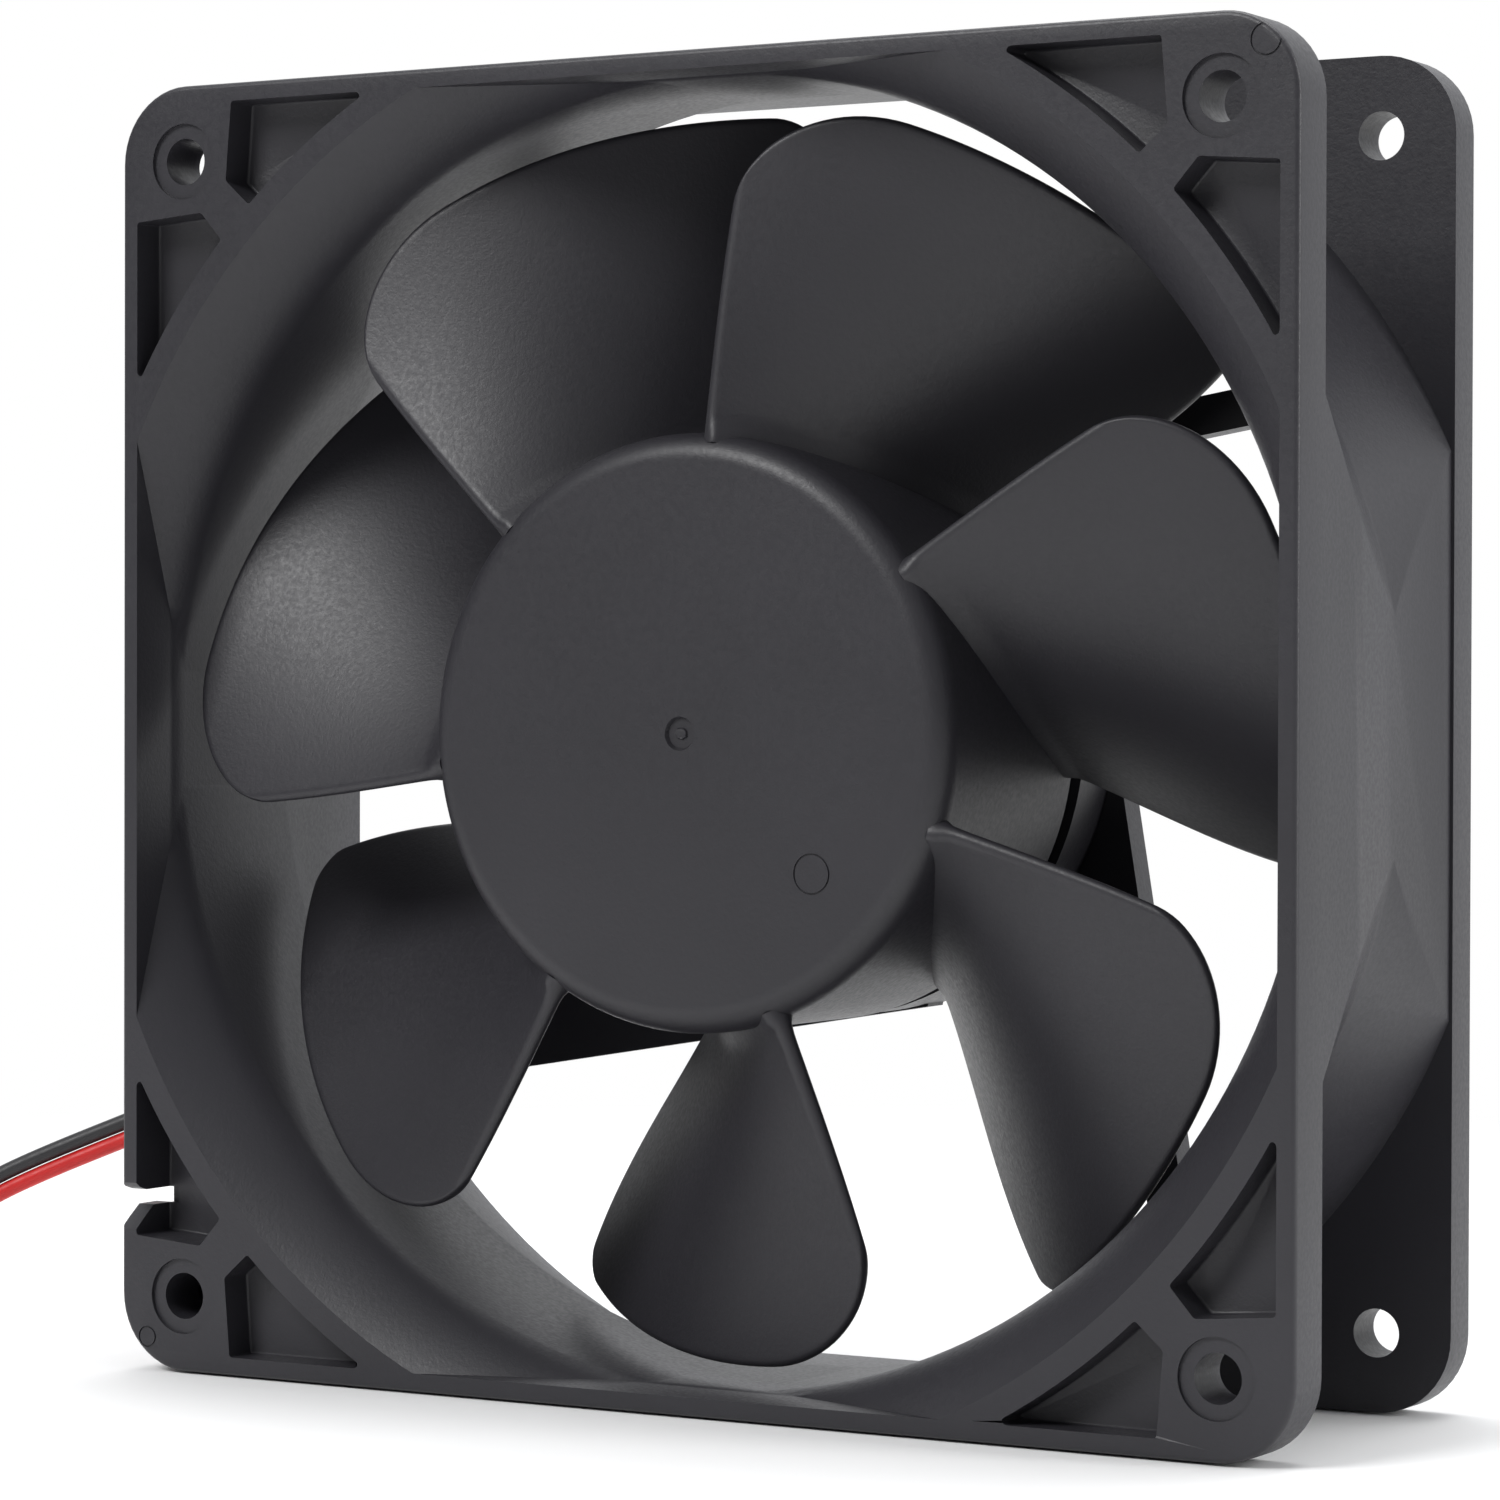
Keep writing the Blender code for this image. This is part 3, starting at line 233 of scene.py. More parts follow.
def metal(name, dark, light, roughness, scale=900, depth=0.00001):
    g = Graph(name)
    fine = g.noise(scale, 3)
    g.link(g.blend(g.spread(fine, 0, 1), dark, light), g.shader.inputs["Base Color"])
    g.link(g.spread(fine, roughness - 0.05, roughness + 0.1), g.shader.inputs["Roughness"])
    g.link(g.bump(fine, depth, 0.6), g.shader.inputs["Normal"])
    g.shader.inputs["Metallic"].default_value = 1.0
    return g.material


def plain_plastic(name, dark, light, roughness, scale=1400, depth=0.00001):
    g = Graph(name)
    fine = g.noise(scale, 3)
    slow = g.noise(160, 2)
    g.link(g.blend(g.spread(slow, 0, 1), dark, light), g.shader.inputs["Base Color"])
    g.link(g.spread(fine, roughness - 0.05, roughness + 0.08), g.shader.inputs["Roughness"])
    g.link(g.bump(fine, depth, 0.6), g.shader.inputs["Normal"])
    return g.material


def make_materials():
    return {
        "frame_plastic": moulded_plastic("frame_plastic", (0.0205, 0.0198, 0.0240), (0.0255, 0.0246, 0.0298), 0.42),
        "impeller_plastic": moulded_plastic("impeller_plastic", (0.0175, 0.0168, 0.0206), (0.0225, 0.0216, 0.0262), 0.44),
        "steel": metal("steel", (0.50, 0.50, 0.51), (0.60, 0.60, 0.61), 0.28),
        "yoke_steel": metal("yoke_steel", (0.36, 0.36, 0.37), (0.46, 0.46, 0.47), 0.38),
        "lamination": metal("lamination", (0.24, 0.24, 0.25), (0.34, 0.34, 0.35), 0.45),
        "brass": metal("brass", (0.66, 0.47, 0.19), (0.76, 0.56, 0.25), 0.32),
        "magnet": plain_plastic("magnet", (0.04, 0.037, 0.037), (0.06, 0.055, 0.052), 0.7),
        "insulator": plain_plastic("insulator", (0.72, 0.70, 0.62), (0.78, 0.76, 0.69), 0.5),
        "copper": metal("copper", (0.62, 0.25, 0.11), (0.74, 0.34, 0.16), 0.3, 2200, 0.00005),
        "board": plain_plastic("board", (0.02, 0.16, 0.05), (0.03, 0.22, 0.08), 0.4),
        "chip": plain_plastic("chip", (0.015, 0.015, 0.016), (0.025, 0.025, 0.026), 0.5),
        "capacitor": metal("capacitor", (0.55, 0.55, 0.57), (0.65, 0.65, 0.67), 0.35),
        "resistor": plain_plastic("resistor", (0.02, 0.02, 0.022), (0.04, 0.04, 0.043), 0.4),
        "label": plain_plastic("label", (0.50, 0.50, 0.50), (0.515, 0.515, 0.515), 0.42, 700),
        "red_insulation": plain_plastic("red_insulation", (0.50, 0.003, 0.003), (0.60, 0.008, 0.006), 0.46),
        "black_insulation": plain_plastic("black_insulation", (0.012, 0.012, 0.014), (0.018, 0.018, 0.020), 0.46),
        "connector": plain_plastic("connector", (0.74, 0.73, 0.67), (0.80, 0.79, 0.74), 0.42),
        "tin": metal("tin", (0.62, 0.62, 0.62), (0.74, 0.74, 0.74), 0.25),
        "tie": plain_plastic("tie", (0.02, 0.02, 0.02), (0.035, 0.035, 0.035), 0.48),
    }


materials = make_materials()


# Mesh building -------------------------------------------------------------------------------------

def from_face(depth):
    return depth - DEPTH / 2


def finish_mesh(name, bm, location=(0.0, 0.0, AXIS_HEIGHT)):
    """Makes an object of a mesh in millimetres about its own origin."""
    bmesh.ops.remove_doubles(bm, verts=bm.verts[:], dist=0.0005)
    bmesh.ops.recalc_face_normals(bm, faces=bm.faces[:])
    bmesh.ops.scale(bm, vec=(MM, MM, MM), verts=bm.verts[:])
    bmesh.ops.translate(bm, vec=Vector(location) * MM, verts=bm.verts[:])
    mesh = bpy.data.meshes.new(name)
    bm.to_mesh(mesh)
    bm.free()
    obj = bpy.data.objects.new(name, mesh)
    bpy.context.scene.collection.objects.link(obj)
    return obj


def turned(name, profile, segments=FINE, closed=False):
    """A (radius, depth) profile spun about the rotor axis."""
    bm = bmesh.new()
    verts = [bm.verts.new((radius, from_face(depth), 0)) for radius, depth in profile]
    edges = [bm.edges.new(pair) for pair in zip(verts, verts[1:])]
    if closed:
        edges.append(bm.edges.new((verts[-1], verts[0])))
    bmesh.ops.spin(bm, geom=verts + edges, cent=(0, 0, 0), axis=(0, 1, 0), angle=math.tau,
                   steps=segments, use_merge=True)
    return finish_mesh(name, bm)


def extrude_outline(bm, outline, front, rear):
    face = bm.faces.new([bm.verts.new((x, from_face(front), z)) for x, z in outline])
    grown = bmesh.ops.extrude_face_region(bm, geom=[face])
    moved = [item for item in grown["geom"] if isinstance(item, bmesh.types.BMVert)]
    bmesh.ops.translate(bm, vec=(0, rear - front, 0), verts=moved)


def extruded(name, outline, front, rear):
    bm = bmesh.new()
    extrude_outline(bm, outline, front, rear)
    return finish_mesh(name, bm)


def boolean(target, operation, other):
    modifier = target.modifiers.new(f"{operation.lower()} {other.name}", "BOOLEAN")
    modifier.operation = operation
    modifier.object = other
    return target


def apply_modifiers(obj):
    """Bakes the modifiers into the mesh and removes the cutters they used."""
    bpy.context.view_layer.update()
    graph = bpy.context.evaluated_depsgraph_get()
    mesh = bpy.data.meshes.new_from_object(obj.evaluated_get(graph))
    used = [m.object for m in obj.modifiers if m.type == "BOOLEAN"]
    obj.modifiers.clear()
    obj.data = mesh
    for other in used:
        for inner in [m.object for m in other.modifiers if m.type == "BOOLEAN"]:
            bpy.data.objects.remove(inner, do_unlink=True)
        bpy.data.objects.remove(other, do_unlink=True)
    return obj


def round_edges(obj, width, segments=2, degrees=28):
    """Rounds every edge sharper than an angle, and shades the result smoothly."""
    bevel = obj.modifiers.new("bevel", "BEVEL")
    bevel.width = width * MM
    bevel.segments = segments
    bevel.limit_method = "ANGLE"
    bevel.angle_limit = math.radians(degrees)
    bevel.use_clamp_overlap = True
    bevel.miter_outer = "MITER_ARC"
    bevel.harden_normals = True
    obj.data.shade_smooth()
    obj.data.set_sharp_from_angle(angle=math.radians(40))
    return apply_modifiers(obj)


def square(half):
    return [(-half, -half), (half, -half), (half, half), (-half, half)]


def arc(centre, radius, start, end, steps):
    points = []
    for i in range(steps + 1):
        angle = math.radians(start + (end - start) * i / steps)
        points.append((centre[0] + radius * math.sin(angle), centre[1] + radius * math.cos(angle)))
    return points


def rounded_square(half, radius, steps=12):
    outline = []
    inset = half - radius
    for index, (x, z) in enumerate(((inset, inset), (inset, -inset), (-inset, -inset), (-inset, inset))):
        outline += arc((x, z), radius, 90 * index, 90 * index + 90, steps)
    return outline


# Frame ---------------------------------------------------------------------------------------------

def bell_profile():
    steps = 12
    points = []
    for i in range(steps + 1):
        depth = BELL_DEPTH * i / steps
        flare = (MOUTH_RADIUS - BORE_RADIUS) * (1 - i / steps) ** BELL_POWER
        points.append((BORE_RADIUS + flare, depth))
    points.append((BORE_RADIUS, REAR_CONE_START))
    points.append((MOUTH_RADIUS, DEPTH))
    return points


def loft(name, sections):
    """A solid through closed outlines of equal length, each at its depth."""
    bm = bmesh.new()
    loops = [[bm.verts.new((x, from_face(depth), z)) for x, z in outline] for outline, depth in sections]
    for one, other in zip(loops, loops[1:]):
        for i in range(len(one)):
            j = (i + 1) % len(one)
            bm.faces.new((one[i], one[j], other[j], other[i]))
    bm.faces.new(loops[0])
    bm.faces.new(loops[-1])
    return finish_mesh(name, bm)


def air_path():
    """The space that the air passes through: the round bore cut off by the four flat side walls."""
    past = 1.0
    profile = [(0, -past), (MOUTH_RADIUS + past, -past)] + bell_profile()
    profile += [(MOUTH_RADIUS, DEPTH + past), (0, DEPTH + past)]
    bore = turned("cutter_bore", profile)
    slope = (FLAT_INSIDE_REAR - FLAT_INSIDE) / (DEPTH - REAR_CONE_START)
    flats = loft("cutter_flats", (
        (square(FLAT_INSIDE), -2), (square(FLAT_INSIDE), REAR_CONE_START),
        (square(FLAT_INSIDE_REAR + 2 * slope), DEPTH + 2),
    ))
    return boolean(bore, "INTERSECT", flats)


def duct_body():
    end = 0.6
    profile = [(0, FRONT_FLANGE - end), (DUCT_FRONT_RADIUS, FRONT_FLANGE - end)]
    steps = 12
    for i in range(steps + 1):
        along = i / steps
        depth = FRONT_FLANGE + (DUCT_WAIST_DEPTH - FRONT_FLANGE) * along
        radius = DUCT_WAIST_RADIUS + (DUCT_FRONT_RADIUS - DUCT_WAIST_RADIUS) * (1 - along) ** 1.5
        profile.append((radius, depth))
    profile += [(DUCT_REAR_RADIUS, REAR_FLANGE_DEPTH), (DUCT_REAR_RADIUS, REAR_FLANGE_DEPTH + end)]
    profile.append((0, REAR_FLANGE_DEPTH + end))
    duct = turned("cutter_duct", profile)
    return boolean(duct, "INTERSECT", extruded("cutter_duct_flats", square(FLAT_OUTSIDE), 0, DEPTH))


def pocket_outline():
    outline = [(33.0, POCKET_EDGE), (47.1, POCKET_EDGE), (47.7, 50.5)]
    outline += arc((0, 0), POCKET_ARC_RADIUS, 43.1, 29.7, 10)
    return outline


def quadrant_outlines(outline, lead_pocket):
    """The outline mirrored about the diagonal and into the other corners, or only the one at the lead notch."""
    found = []
    for x_sign in (1, -1):
        for z_sign in (1, -1):
            upright = [(x * x_sign, z * z_sign) for x, z in outline]
            beside = [(z * x_sign, x * z_sign) for x, z in outline]
            at_leads = (x_sign, z_sign) == (-1, -1)
            if lead_pocket and at_leads:
                found.append(beside)
            elif not lead_pocket:
                found += [upright] if at_leads else [upright, beside]
    return found


def pockets(name, front, rear, lead_pocket=False):
    bm = bmesh.new()
    for outline in quadrant_outlines(pocket_outline(), lead_pocket):
        extrude_outline(bm, outline, front, rear)
    return rounded_cutter(finish_mesh(name, bm))


def rounded_cutter(cutter):
    """Rounds a cutter's corners and floor edges."""
    bevel = cutter.modifiers.new("round", "BEVEL")
    bevel.width = POCKET_ROUND * MM
    bevel.segments = 3
    bevel.limit_method = "ANGLE"
    bevel.angle_limit = math.radians(35)
    return cutter


def lead_notch():
    """A slot in the flange's left edge, wide at the front and narrow behind, to press the leads into."""
    left, right = -SIDE / 2 - 1, -POCKET_EDGE + 1
    shape = [(-0.4, -46.9), (1.2, -45.6), (2.7, -44.5), (FRONT_FLANGE + 0.4, -44.5)]
    shape += [(FRONT_FLANGE + 0.4, -43.0), (1.6, -43.0), (0.6, -42.7), (-0.4, -42.0)]
    bm = bmesh.new()
    sides = [[bm.verts.new((x, from_face(depth), z)) for depth, z in shape] for x in (left, right)]
    bm.faces.new(sides[0])
    bm.faces.new(sides[1])
    for i in range(len(shape)):
        j = (i + 1) % len(shape)
        bm.faces.new((sides[0][i], sides[0][j], sides[1][j], sides[1][i]))
    return finish_mesh("cutter_notch", bm)


def lead_pocket_floor():
    """The pocket at the lead notch is deep, and its floor stands behind the flange."""
    left, right = -POCKET_EDGE, -46.0
    outline = [(left, -48.6), (-50.5, -48.9), (right, -47.0), (right, -43.0), (-56.0, -32.0), (left, -32.0)]
    return extruded("cutter_pocket_floor", outline, LEAD_POCKET_DEPTH - 0.6, LEAD_POCKET_FLOOR)


def corner_circles(name, radius, front, rear, steps=48):
    bm = bmesh.new()
    half = HOLE_SPACING / 2
    for x in (-half, half):
        for z in (-half, half):
            extrude_outline(bm, arc((x, z), radius, 0, 360 - 360 / steps, steps - 1), front, rear)
    return finish_mesh(name, bm)


def strut_point(out, along_by, turn=0.0):
    outward = Vector((math.sin(STRUT_TILT + turn), -math.cos(STRUT_TILT + turn)))
    along = Vector((outward.y, -outward.x))
    return tuple(outward * out + along * along_by)


def strut_outline(index):
    """A strut from the motor base to the duct, with a gusset where it leaves the base."""
    inner, outer = STRUT_SPANS[index]
    reach = math.sqrt(STRUT_END_RADIUS ** 2 - outer ** 2)
    corners = (
        (19.4, -6), (inner, -6), (outer, -3), (outer, reach), (inner, reach), (inner, 20.5), (19.4, 16.5),
    )
    return [strut_point(out, by, index * math.pi / 2) for out, by in corners]


def motor_base_profile():
    recess = BASE_REAR - LABEL_RECESS
    collar = BASE_HOLE_RADIUS + 2.0
    return [
        (BASE_INNER_RADIUS, BASE_FRONT), (BASE_RADIUS, BASE_FRONT), (BASE_RADIUS, BASE_REAR),
        (LABEL_RECESS_RADIUS, BASE_REAR), (LABEL_RECESS_RADIUS, recess), (BASE_HOLE_RADIUS, recess),
        (BASE_HOLE_RADIUS, 32.0), (collar, 32.0), (collar, BASE_FLOOR), (BASE_INNER_RADIUS, BASE_FLOOR),
    ]


def lead_openings():
    """The leads' way out: down through the motor base, along a channel behind the lower strut, through the duct."""
    cutters = []
    for index, (inner, outer, start, end, front, rear) in enumerate((
        (20.7, 25.2, 3, 57.5, CHANNEL_FRONT, DEPTH), (20.6, 25.3, 0.5, 9.5, 31.2, CHANNEL_FRONT + 0.7),
        (20.8, 25.1, 44, 57, STRUT_FRONT - 1, CHANNEL_FRONT + 0.1), (19.9, 25.9, 48, 63, 29.4, 33.3),
    )):
        shape = [strut_point(out, by) for out, by in ((inner, start), (outer, start), (outer, end), (inner, end))]
        cutters.append(extruded(f"cutter_lead_way_{index}", shape, front, rear))
    return cutters


def housing_sections():
    """The block that both flanges are cut from, rounded at both ends."""
    edge, steps = 0.5, 5
    insets = [edge * (1 - math.sin(math.pi / 2 * i / steps)) for i in range(steps + 1)]
    depths = [edge * (1 - math.cos(math.pi / 2 * i / steps)) for i in range(steps + 1)]
    places = list(zip(insets, depths)) + [(inset, DEPTH - depth) for inset, depth in zip(insets[::-1], depths[::-1])]
    return [(rounded_square(SIDE / 2 - inset, CORNER_RADIUS - inset), depth) for inset, depth in places]


def build_frame():
    body = loft("frame", housing_sections())
    gap = extruded("cutter_gap", square(SIDE / 2 + 5), FRONT_FLANGE, REAR_FLANGE_DEPTH)
    boolean(gap, "DIFFERENCE", apply_modifiers(duct_body()))
    boolean(body, "DIFFERENCE", gap)
    boolean(body, "UNION", lead_pocket_floor())
    boolean(body, "DIFFERENCE", apply_modifiers(air_path()))
    boolean(body, "UNION", turned("cutter_base", motor_base_profile(), 128, closed=True))
    for index in range(4):
        boolean(body, "UNION", extruded(f"cutter_strut_{index}", strut_outline(index), STRUT_FRONT, STRUT_REAR))
    boolean(body, "DIFFERENCE", pockets("cutter_front_pockets", -2, FRONT_POCKET_DEPTH))
    boolean(body, "DIFFERENCE", pockets("cutter_lead_pocket", -2, LEAD_POCKET_DEPTH, lead_pocket=True))
    rear = DEPTH - REAR_POCKET_DEPTH
    boolean(body, "DIFFERENCE", pockets("cutter_rear_pockets", rear, DEPTH + 2))
    boolean(body, "DIFFERENCE", pockets("cutter_rear_lead_pocket", rear, DEPTH + 2, lead_pocket=True))
    boolean(body, "DIFFERENCE", lead_notch())
    boolean(body, "DIFFERENCE", corner_circles("cutter_rings", RING_RADIUS, -1, RING_DEPTH))
    boolean(body, "DIFFERENCE", corner_circles("cutter_holes", HOLE_RADIUS, RING_DEPTH / 2, DEPTH + 1))
    for cutter in lead_openings():
        boolean(body, "DIFFERENCE", cutter)
    apply_modifiers(body)
    round_edges(body, 0.28)
    for x, z, radius in ((56.5, 56.9, 1.4), (-56.5, -56.5, 1.0)):
        boolean(body, "DIFFERENCE", ejector_ring(x, z, radius, 0.0))
    apply_modifiers(body)
    body.data.materials.clear()
    body.data.materials.append(materials["frame_plastic"])
    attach(body, "root")
    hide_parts("frame_housing")
    return body


# Impeller ------------------------------------------------------------------------------------------

def hub_profile():
    inner = HUB_RADIUS - HUB_WALL
    points = [(0, HUB_FRONT + 0.4), (1.3, HUB_FRONT + 0.4), (1.5, HUB_FRONT)]
    steps = 12
    for i in range(steps + 1):
        angle = math.pi / 2 * i / steps
        points.append((
            HUB_RADIUS - HUB_ROUND + HUB_ROUND * math.sin(angle),
            HUB_FRONT + HUB_ROUND - HUB_ROUND * math.cos(angle),
        ))
    points += [(HUB_RADIUS, HUB_REAR - 0.3), (HUB_RADIUS - 0.3, HUB_REAR), (inner, HUB_REAR)]
    points += [(inner, HUB_FRONT + HUB_TOP + 1.0), (inner - 1.0, HUB_FRONT + HUB_TOP)]
    points.append((0, HUB_FRONT + HUB_TOP))
    return points


def through_three(start, middle, end, at):
    """A value that runs smoothly through three, at 0, 0.5 and 1."""
    return start + (end - start) * at + (4 * middle - 2 * start - 2 * end) * at * (1 - at)


def sweep(span):
    return through_three(SWEEP_ROOT, SWEEP_MIDDLE, SWEEP_TIP, span)


def blade_front(radius, chord):
    """A point on a blade's intake-side surface, at a chord of 0 at its leading edge and 1 at its tail."""
    span = (radius - HUB_RADIUS) / (TIP_RADIUS - HUB_RADIUS)
    lead = LEAD_DEPTH_ROOT + (LEAD_DEPTH_TIP - LEAD_DEPTH_ROOT) * span
    trail = through_three(TRAIL_DEPTH_ENDS, TRAIL_DEPTH_MIDDLE, TRAIL_DEPTH_ENDS, span)
    camber = CAMBER_ROOT + (CAMBER_TIP - CAMBER_ROOT) * span
    depth = lead + (trail - lead) * chord * (camber + (1 - camber) * chord ** 2)
    angle = through_three(LEAD_ANGLE_ROOT, LEAD_ANGLE_MIDDLE, LEAD_ANGLE_TIP, span) + sweep(span) * chord
    return Vector((radius * math.sin(angle), from_face(depth), radius * math.cos(angle)))


def blade_normal(radius, chord):
    step = 0.01
    along = blade_front(radius, chord + step) - blade_front(radius, chord - step)
    across = blade_front(radius + 0.1, chord) - blade_front(radius - 0.1, chord)
    normal = across.cross(along).normalized()
    return normal if normal.y > 0 else -normal


def tip_radius(chord):
    run = TIP_RADIUS * SWEEP_TIP
    from_lead = chord * run
    from_tail = (1 - chord) * run
    drop = 0.0
    if from_lead < TIP_ROUND_CHORD:
        part = 1 - from_lead / TIP_ROUND_CHORD
        drop += TIP_ROUND_RADIAL * (1 - math.sqrt(1 - part * part))
    if from_tail < TAIL_ROUND:
        part = 1 - from_tail / TAIL_ROUND
        drop += TAIL_ROUND * (1 - math.sqrt(1 - part * part))
    return TIP_RADIUS - drop


def edge_round(distance, radius):
    """How full the thickness is at a distance from an edge with a rounded rim."""
    part = 1 - min(1.0, distance / radius)
    return math.sqrt(max(0.0, 1 - part * part))


def blade(name):
    """One blade as a closed skin: thick and flared at the hub, rounded at its other edges."""
    rows, columns = 64, 34
    bm = bmesh.new()
    front, rear = [], []
    root = HUB_RADIUS - 0.8
    for i in range(rows + 1):
        chord = (1 - math.cos(math.pi * i / rows)) / 2
        tip = tip_radius(chord)
        front_row, rear_row = [], []
        for j in range(columns + 1):
            along = j / columns
            eased = math.sin(math.pi / 2 * along) ** 1.15
            radius = root + (tip - root) * eased
            span = (radius - HUB_RADIUS) / (TIP_RADIUS - HUB_RADIUS)
            run = radius * sweep(max(0.0, span))
            full = BLADE_THICK_ROOT + (BLADE_THICK_TIP - BLADE_THICK_ROOT) * span
            full *= min(1.0, 0.75 + 0.9 * chord, 0.62 + 1.1 * (1 - chord))
            rim = edge_round(chord * run, 0.7) * edge_round((1 - chord) * run, 0.45)
            rim *= edge_round(tip - radius, 0.55)
            flare = 0.6 * math.exp(-max(0.0, radius - HUB_RADIUS) / 0.5)
            half = full * rim / 2
            normal = blade_normal(radius, chord)
            middle = blade_front(radius, chord) + normal * full / 2
            front_row.append(bm.verts.new(middle - normal * (half + flare * rim)))
            rear_row.append(bm.verts.new(middle + normal * (half + flare * rim)))
        front.append(front_row)
        rear.append(rear_row)
    for i in range(rows):
        for j in range(columns):
            bm.faces.new((front[i][j], front[i + 1][j], front[i + 1][j + 1], front[i][j + 1]))
            bm.faces.new((rear[i][j], rear[i][j + 1], rear[i + 1][j + 1], rear[i + 1][j]))
        bm.faces.new((front[i][0], front[i + 1][0], rear[i + 1][0], rear[i][0]))
    return finish_mesh(name, bm)


def ejector_ring(x, z, radius, depth):
    """The fine groove that an ejector pin leaves round its end."""
    profile = ((radius - 0.16, depth - 0.5), (radius, depth - 0.5), (radius, depth + 0.14), (radius - 0.16, depth + 0.14))
    groove = turned("cutter_ejector", profile, 48, closed=True)
    groove.data.transform(Matrix.Translation((x * MM, 0, z * MM)))
    return groove


def gate_mark():
    """The broken-off gate in the hub's centre pit."""
    bm = bmesh.new()
    steps = 14
    rim, crown = [], []
    for i in range(steps):
        angle = math.tau * i / steps
        ragged = 0.85 + 0.13 * math.sin(3.1 * i) + 0.09 * math.sin(7.3 * i + 1)
        rim.append(bm.verts.new((ragged * math.cos(angle), from_face(HUB_FRONT + 0.9), ragged * math.sin(angle))))
        high = HUB_FRONT + 0.12 + 0.1 * math.sin(5.7 * i + 2)
        inner = 0.55 * ragged
        crown.append(bm.verts.new((inner * math.cos(angle), from_face(high), inner * math.sin(angle))))
    bm.faces.new(rim)
    for i in range(steps):
        bm.faces.new((rim[i], rim[(i + 1) % steps], crown[(i + 1) % steps], crown[i]))
    middle = bm.verts.new((0.1, from_face(HUB_FRONT + 0.3), -0.05))
    for i in range(steps):
        bm.faces.new((crown[i], crown[(i + 1) % steps], middle))
    return finish_mesh("cutter_gate", bm)


def build_impeller():
    hub = turned("impeller_looks", hub_profile(), 24 * BLADES)
    for index in range(BLADES):
        vane = blade(f"cutter_blade_{index}")
        turn = Matrix.Rotation(math.tau * index / BLADES, 4, "Y")
        centre = Matrix.Translation((0, 0, AXIS_HEIGHT * MM))
        vane.data.transform(centre @ turn @ centre.inverted())
        boolean(hub, "UNION", vane)
    boolean(hub, "DIFFERENCE", ejector_ring(13.3, -12.0, 1.8, HUB_FRONT))
    boolean(hub, "UNION", gate_mark())
    apply_modifiers(hub)
    hub.data.shade_smooth()
    hub.data.set_sharp_from_angle(angle=math.radians(38))
    hub.data.materials.clear()
    hub.data.materials.append(materials["impeller_plastic"])
    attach(hub, "rotor")
    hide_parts("impeller")
    return hub


# Leads ---------------------------------------------------------------------------------------------

def catmull(points, spacing):
    route = [Vector(p) for p in points]
    route = [route[0] * 2 - route[1]] + route + [route[-1] * 2 - route[-2]]
    fine = []
    per_span = 24
    for i in range(1, len(route) - 2):
        before, start, end, after = route[i - 1:i + 3]
        for step in range(per_span):
            t = step / per_span
            fine.append(0.5 * (
                2 * start + (end - before) * t + (2 * before - 5 * start + 4 * end - after) * t ** 2
                + (3 * start - before - 3 * end + after) * t ** 3
            ))
    fine.append(route[-2])
    lengths = [0.0]
    for one, other in zip(fine, fine[1:]):
        lengths.append(lengths[-1] + (other - one).length)
    count = max(2, round(lengths[-1] / spacing))
    even, at = [], 0
    for i in range(count + 1):
        target = lengths[-1] * i / count
        while at < len(fine) - 2 and lengths[at + 1] < target:
            at += 1
        part = (target - lengths[at]) / max(1e-9, lengths[at + 1] - lengths[at])
        even.append(fine[at].lerp(fine[at + 1], min(1.0, part)))
    return even


def in_world(out, by, depth):
    x, z = strut_point(out, by)
    return (x, from_face(depth), AXIS_HEIGHT + z)


def coil_level(colour):
    bottom = COIL_LIFT + LEAD_RADIUS
    return bottom if colour == "red" else bottom + 2 * LEAD_RADIUS + LAYER_GAP


COIL_FIRST_TURN = COIL_RADIUS + COIL_TURNS * COIL_PITCH / 2


def free_route(colour):
    lift = 0.0 if colour == "red" else 1.78
    touch = (COIL_CENTRE[0], COIL_CENTRE[1] + COIL_FIRST_TURN, coil_level(colour))
    return [
        in_world(LEAD_OUT[colour], FREE_START, EXIT_DEPTH),
        in_world(LEAD_OUT[colour], FREE_START + 5, EXIT_DEPTH - 0.6),
        (-70.0, 10.2, 21.8 + lift), (-79.0, 7.0, 18.2 + lift), (-90.5, 2.6, 12.9 + 1.04 * lift),
        (-98.5, -0.9, 7.6 + 1.15 * lift), (-105.0, -2.9, 3.6 + 1.12 * lift),
        (touch[0] + 3.5, touch[1] + 0.3, touch[2] + 0.2), touch,
    ]


def coil_route(colour):
    """The turns of a flat coil, from the outside in."""
    points = []
    per_turn = 14
    for i in range(1, COIL_TURNS * per_turn):
        turn = i / per_turn
        radius = COIL_FIRST_TURN - COIL_PITCH * turn
        angle = math.pi / 2 + math.tau * turn
        points.append((
            COIL_CENTRE[0] + radius * math.cos(angle), COIL_CENTRE[1] + radius * math.sin(angle),
            coil_level(colour),
        ))
    return points


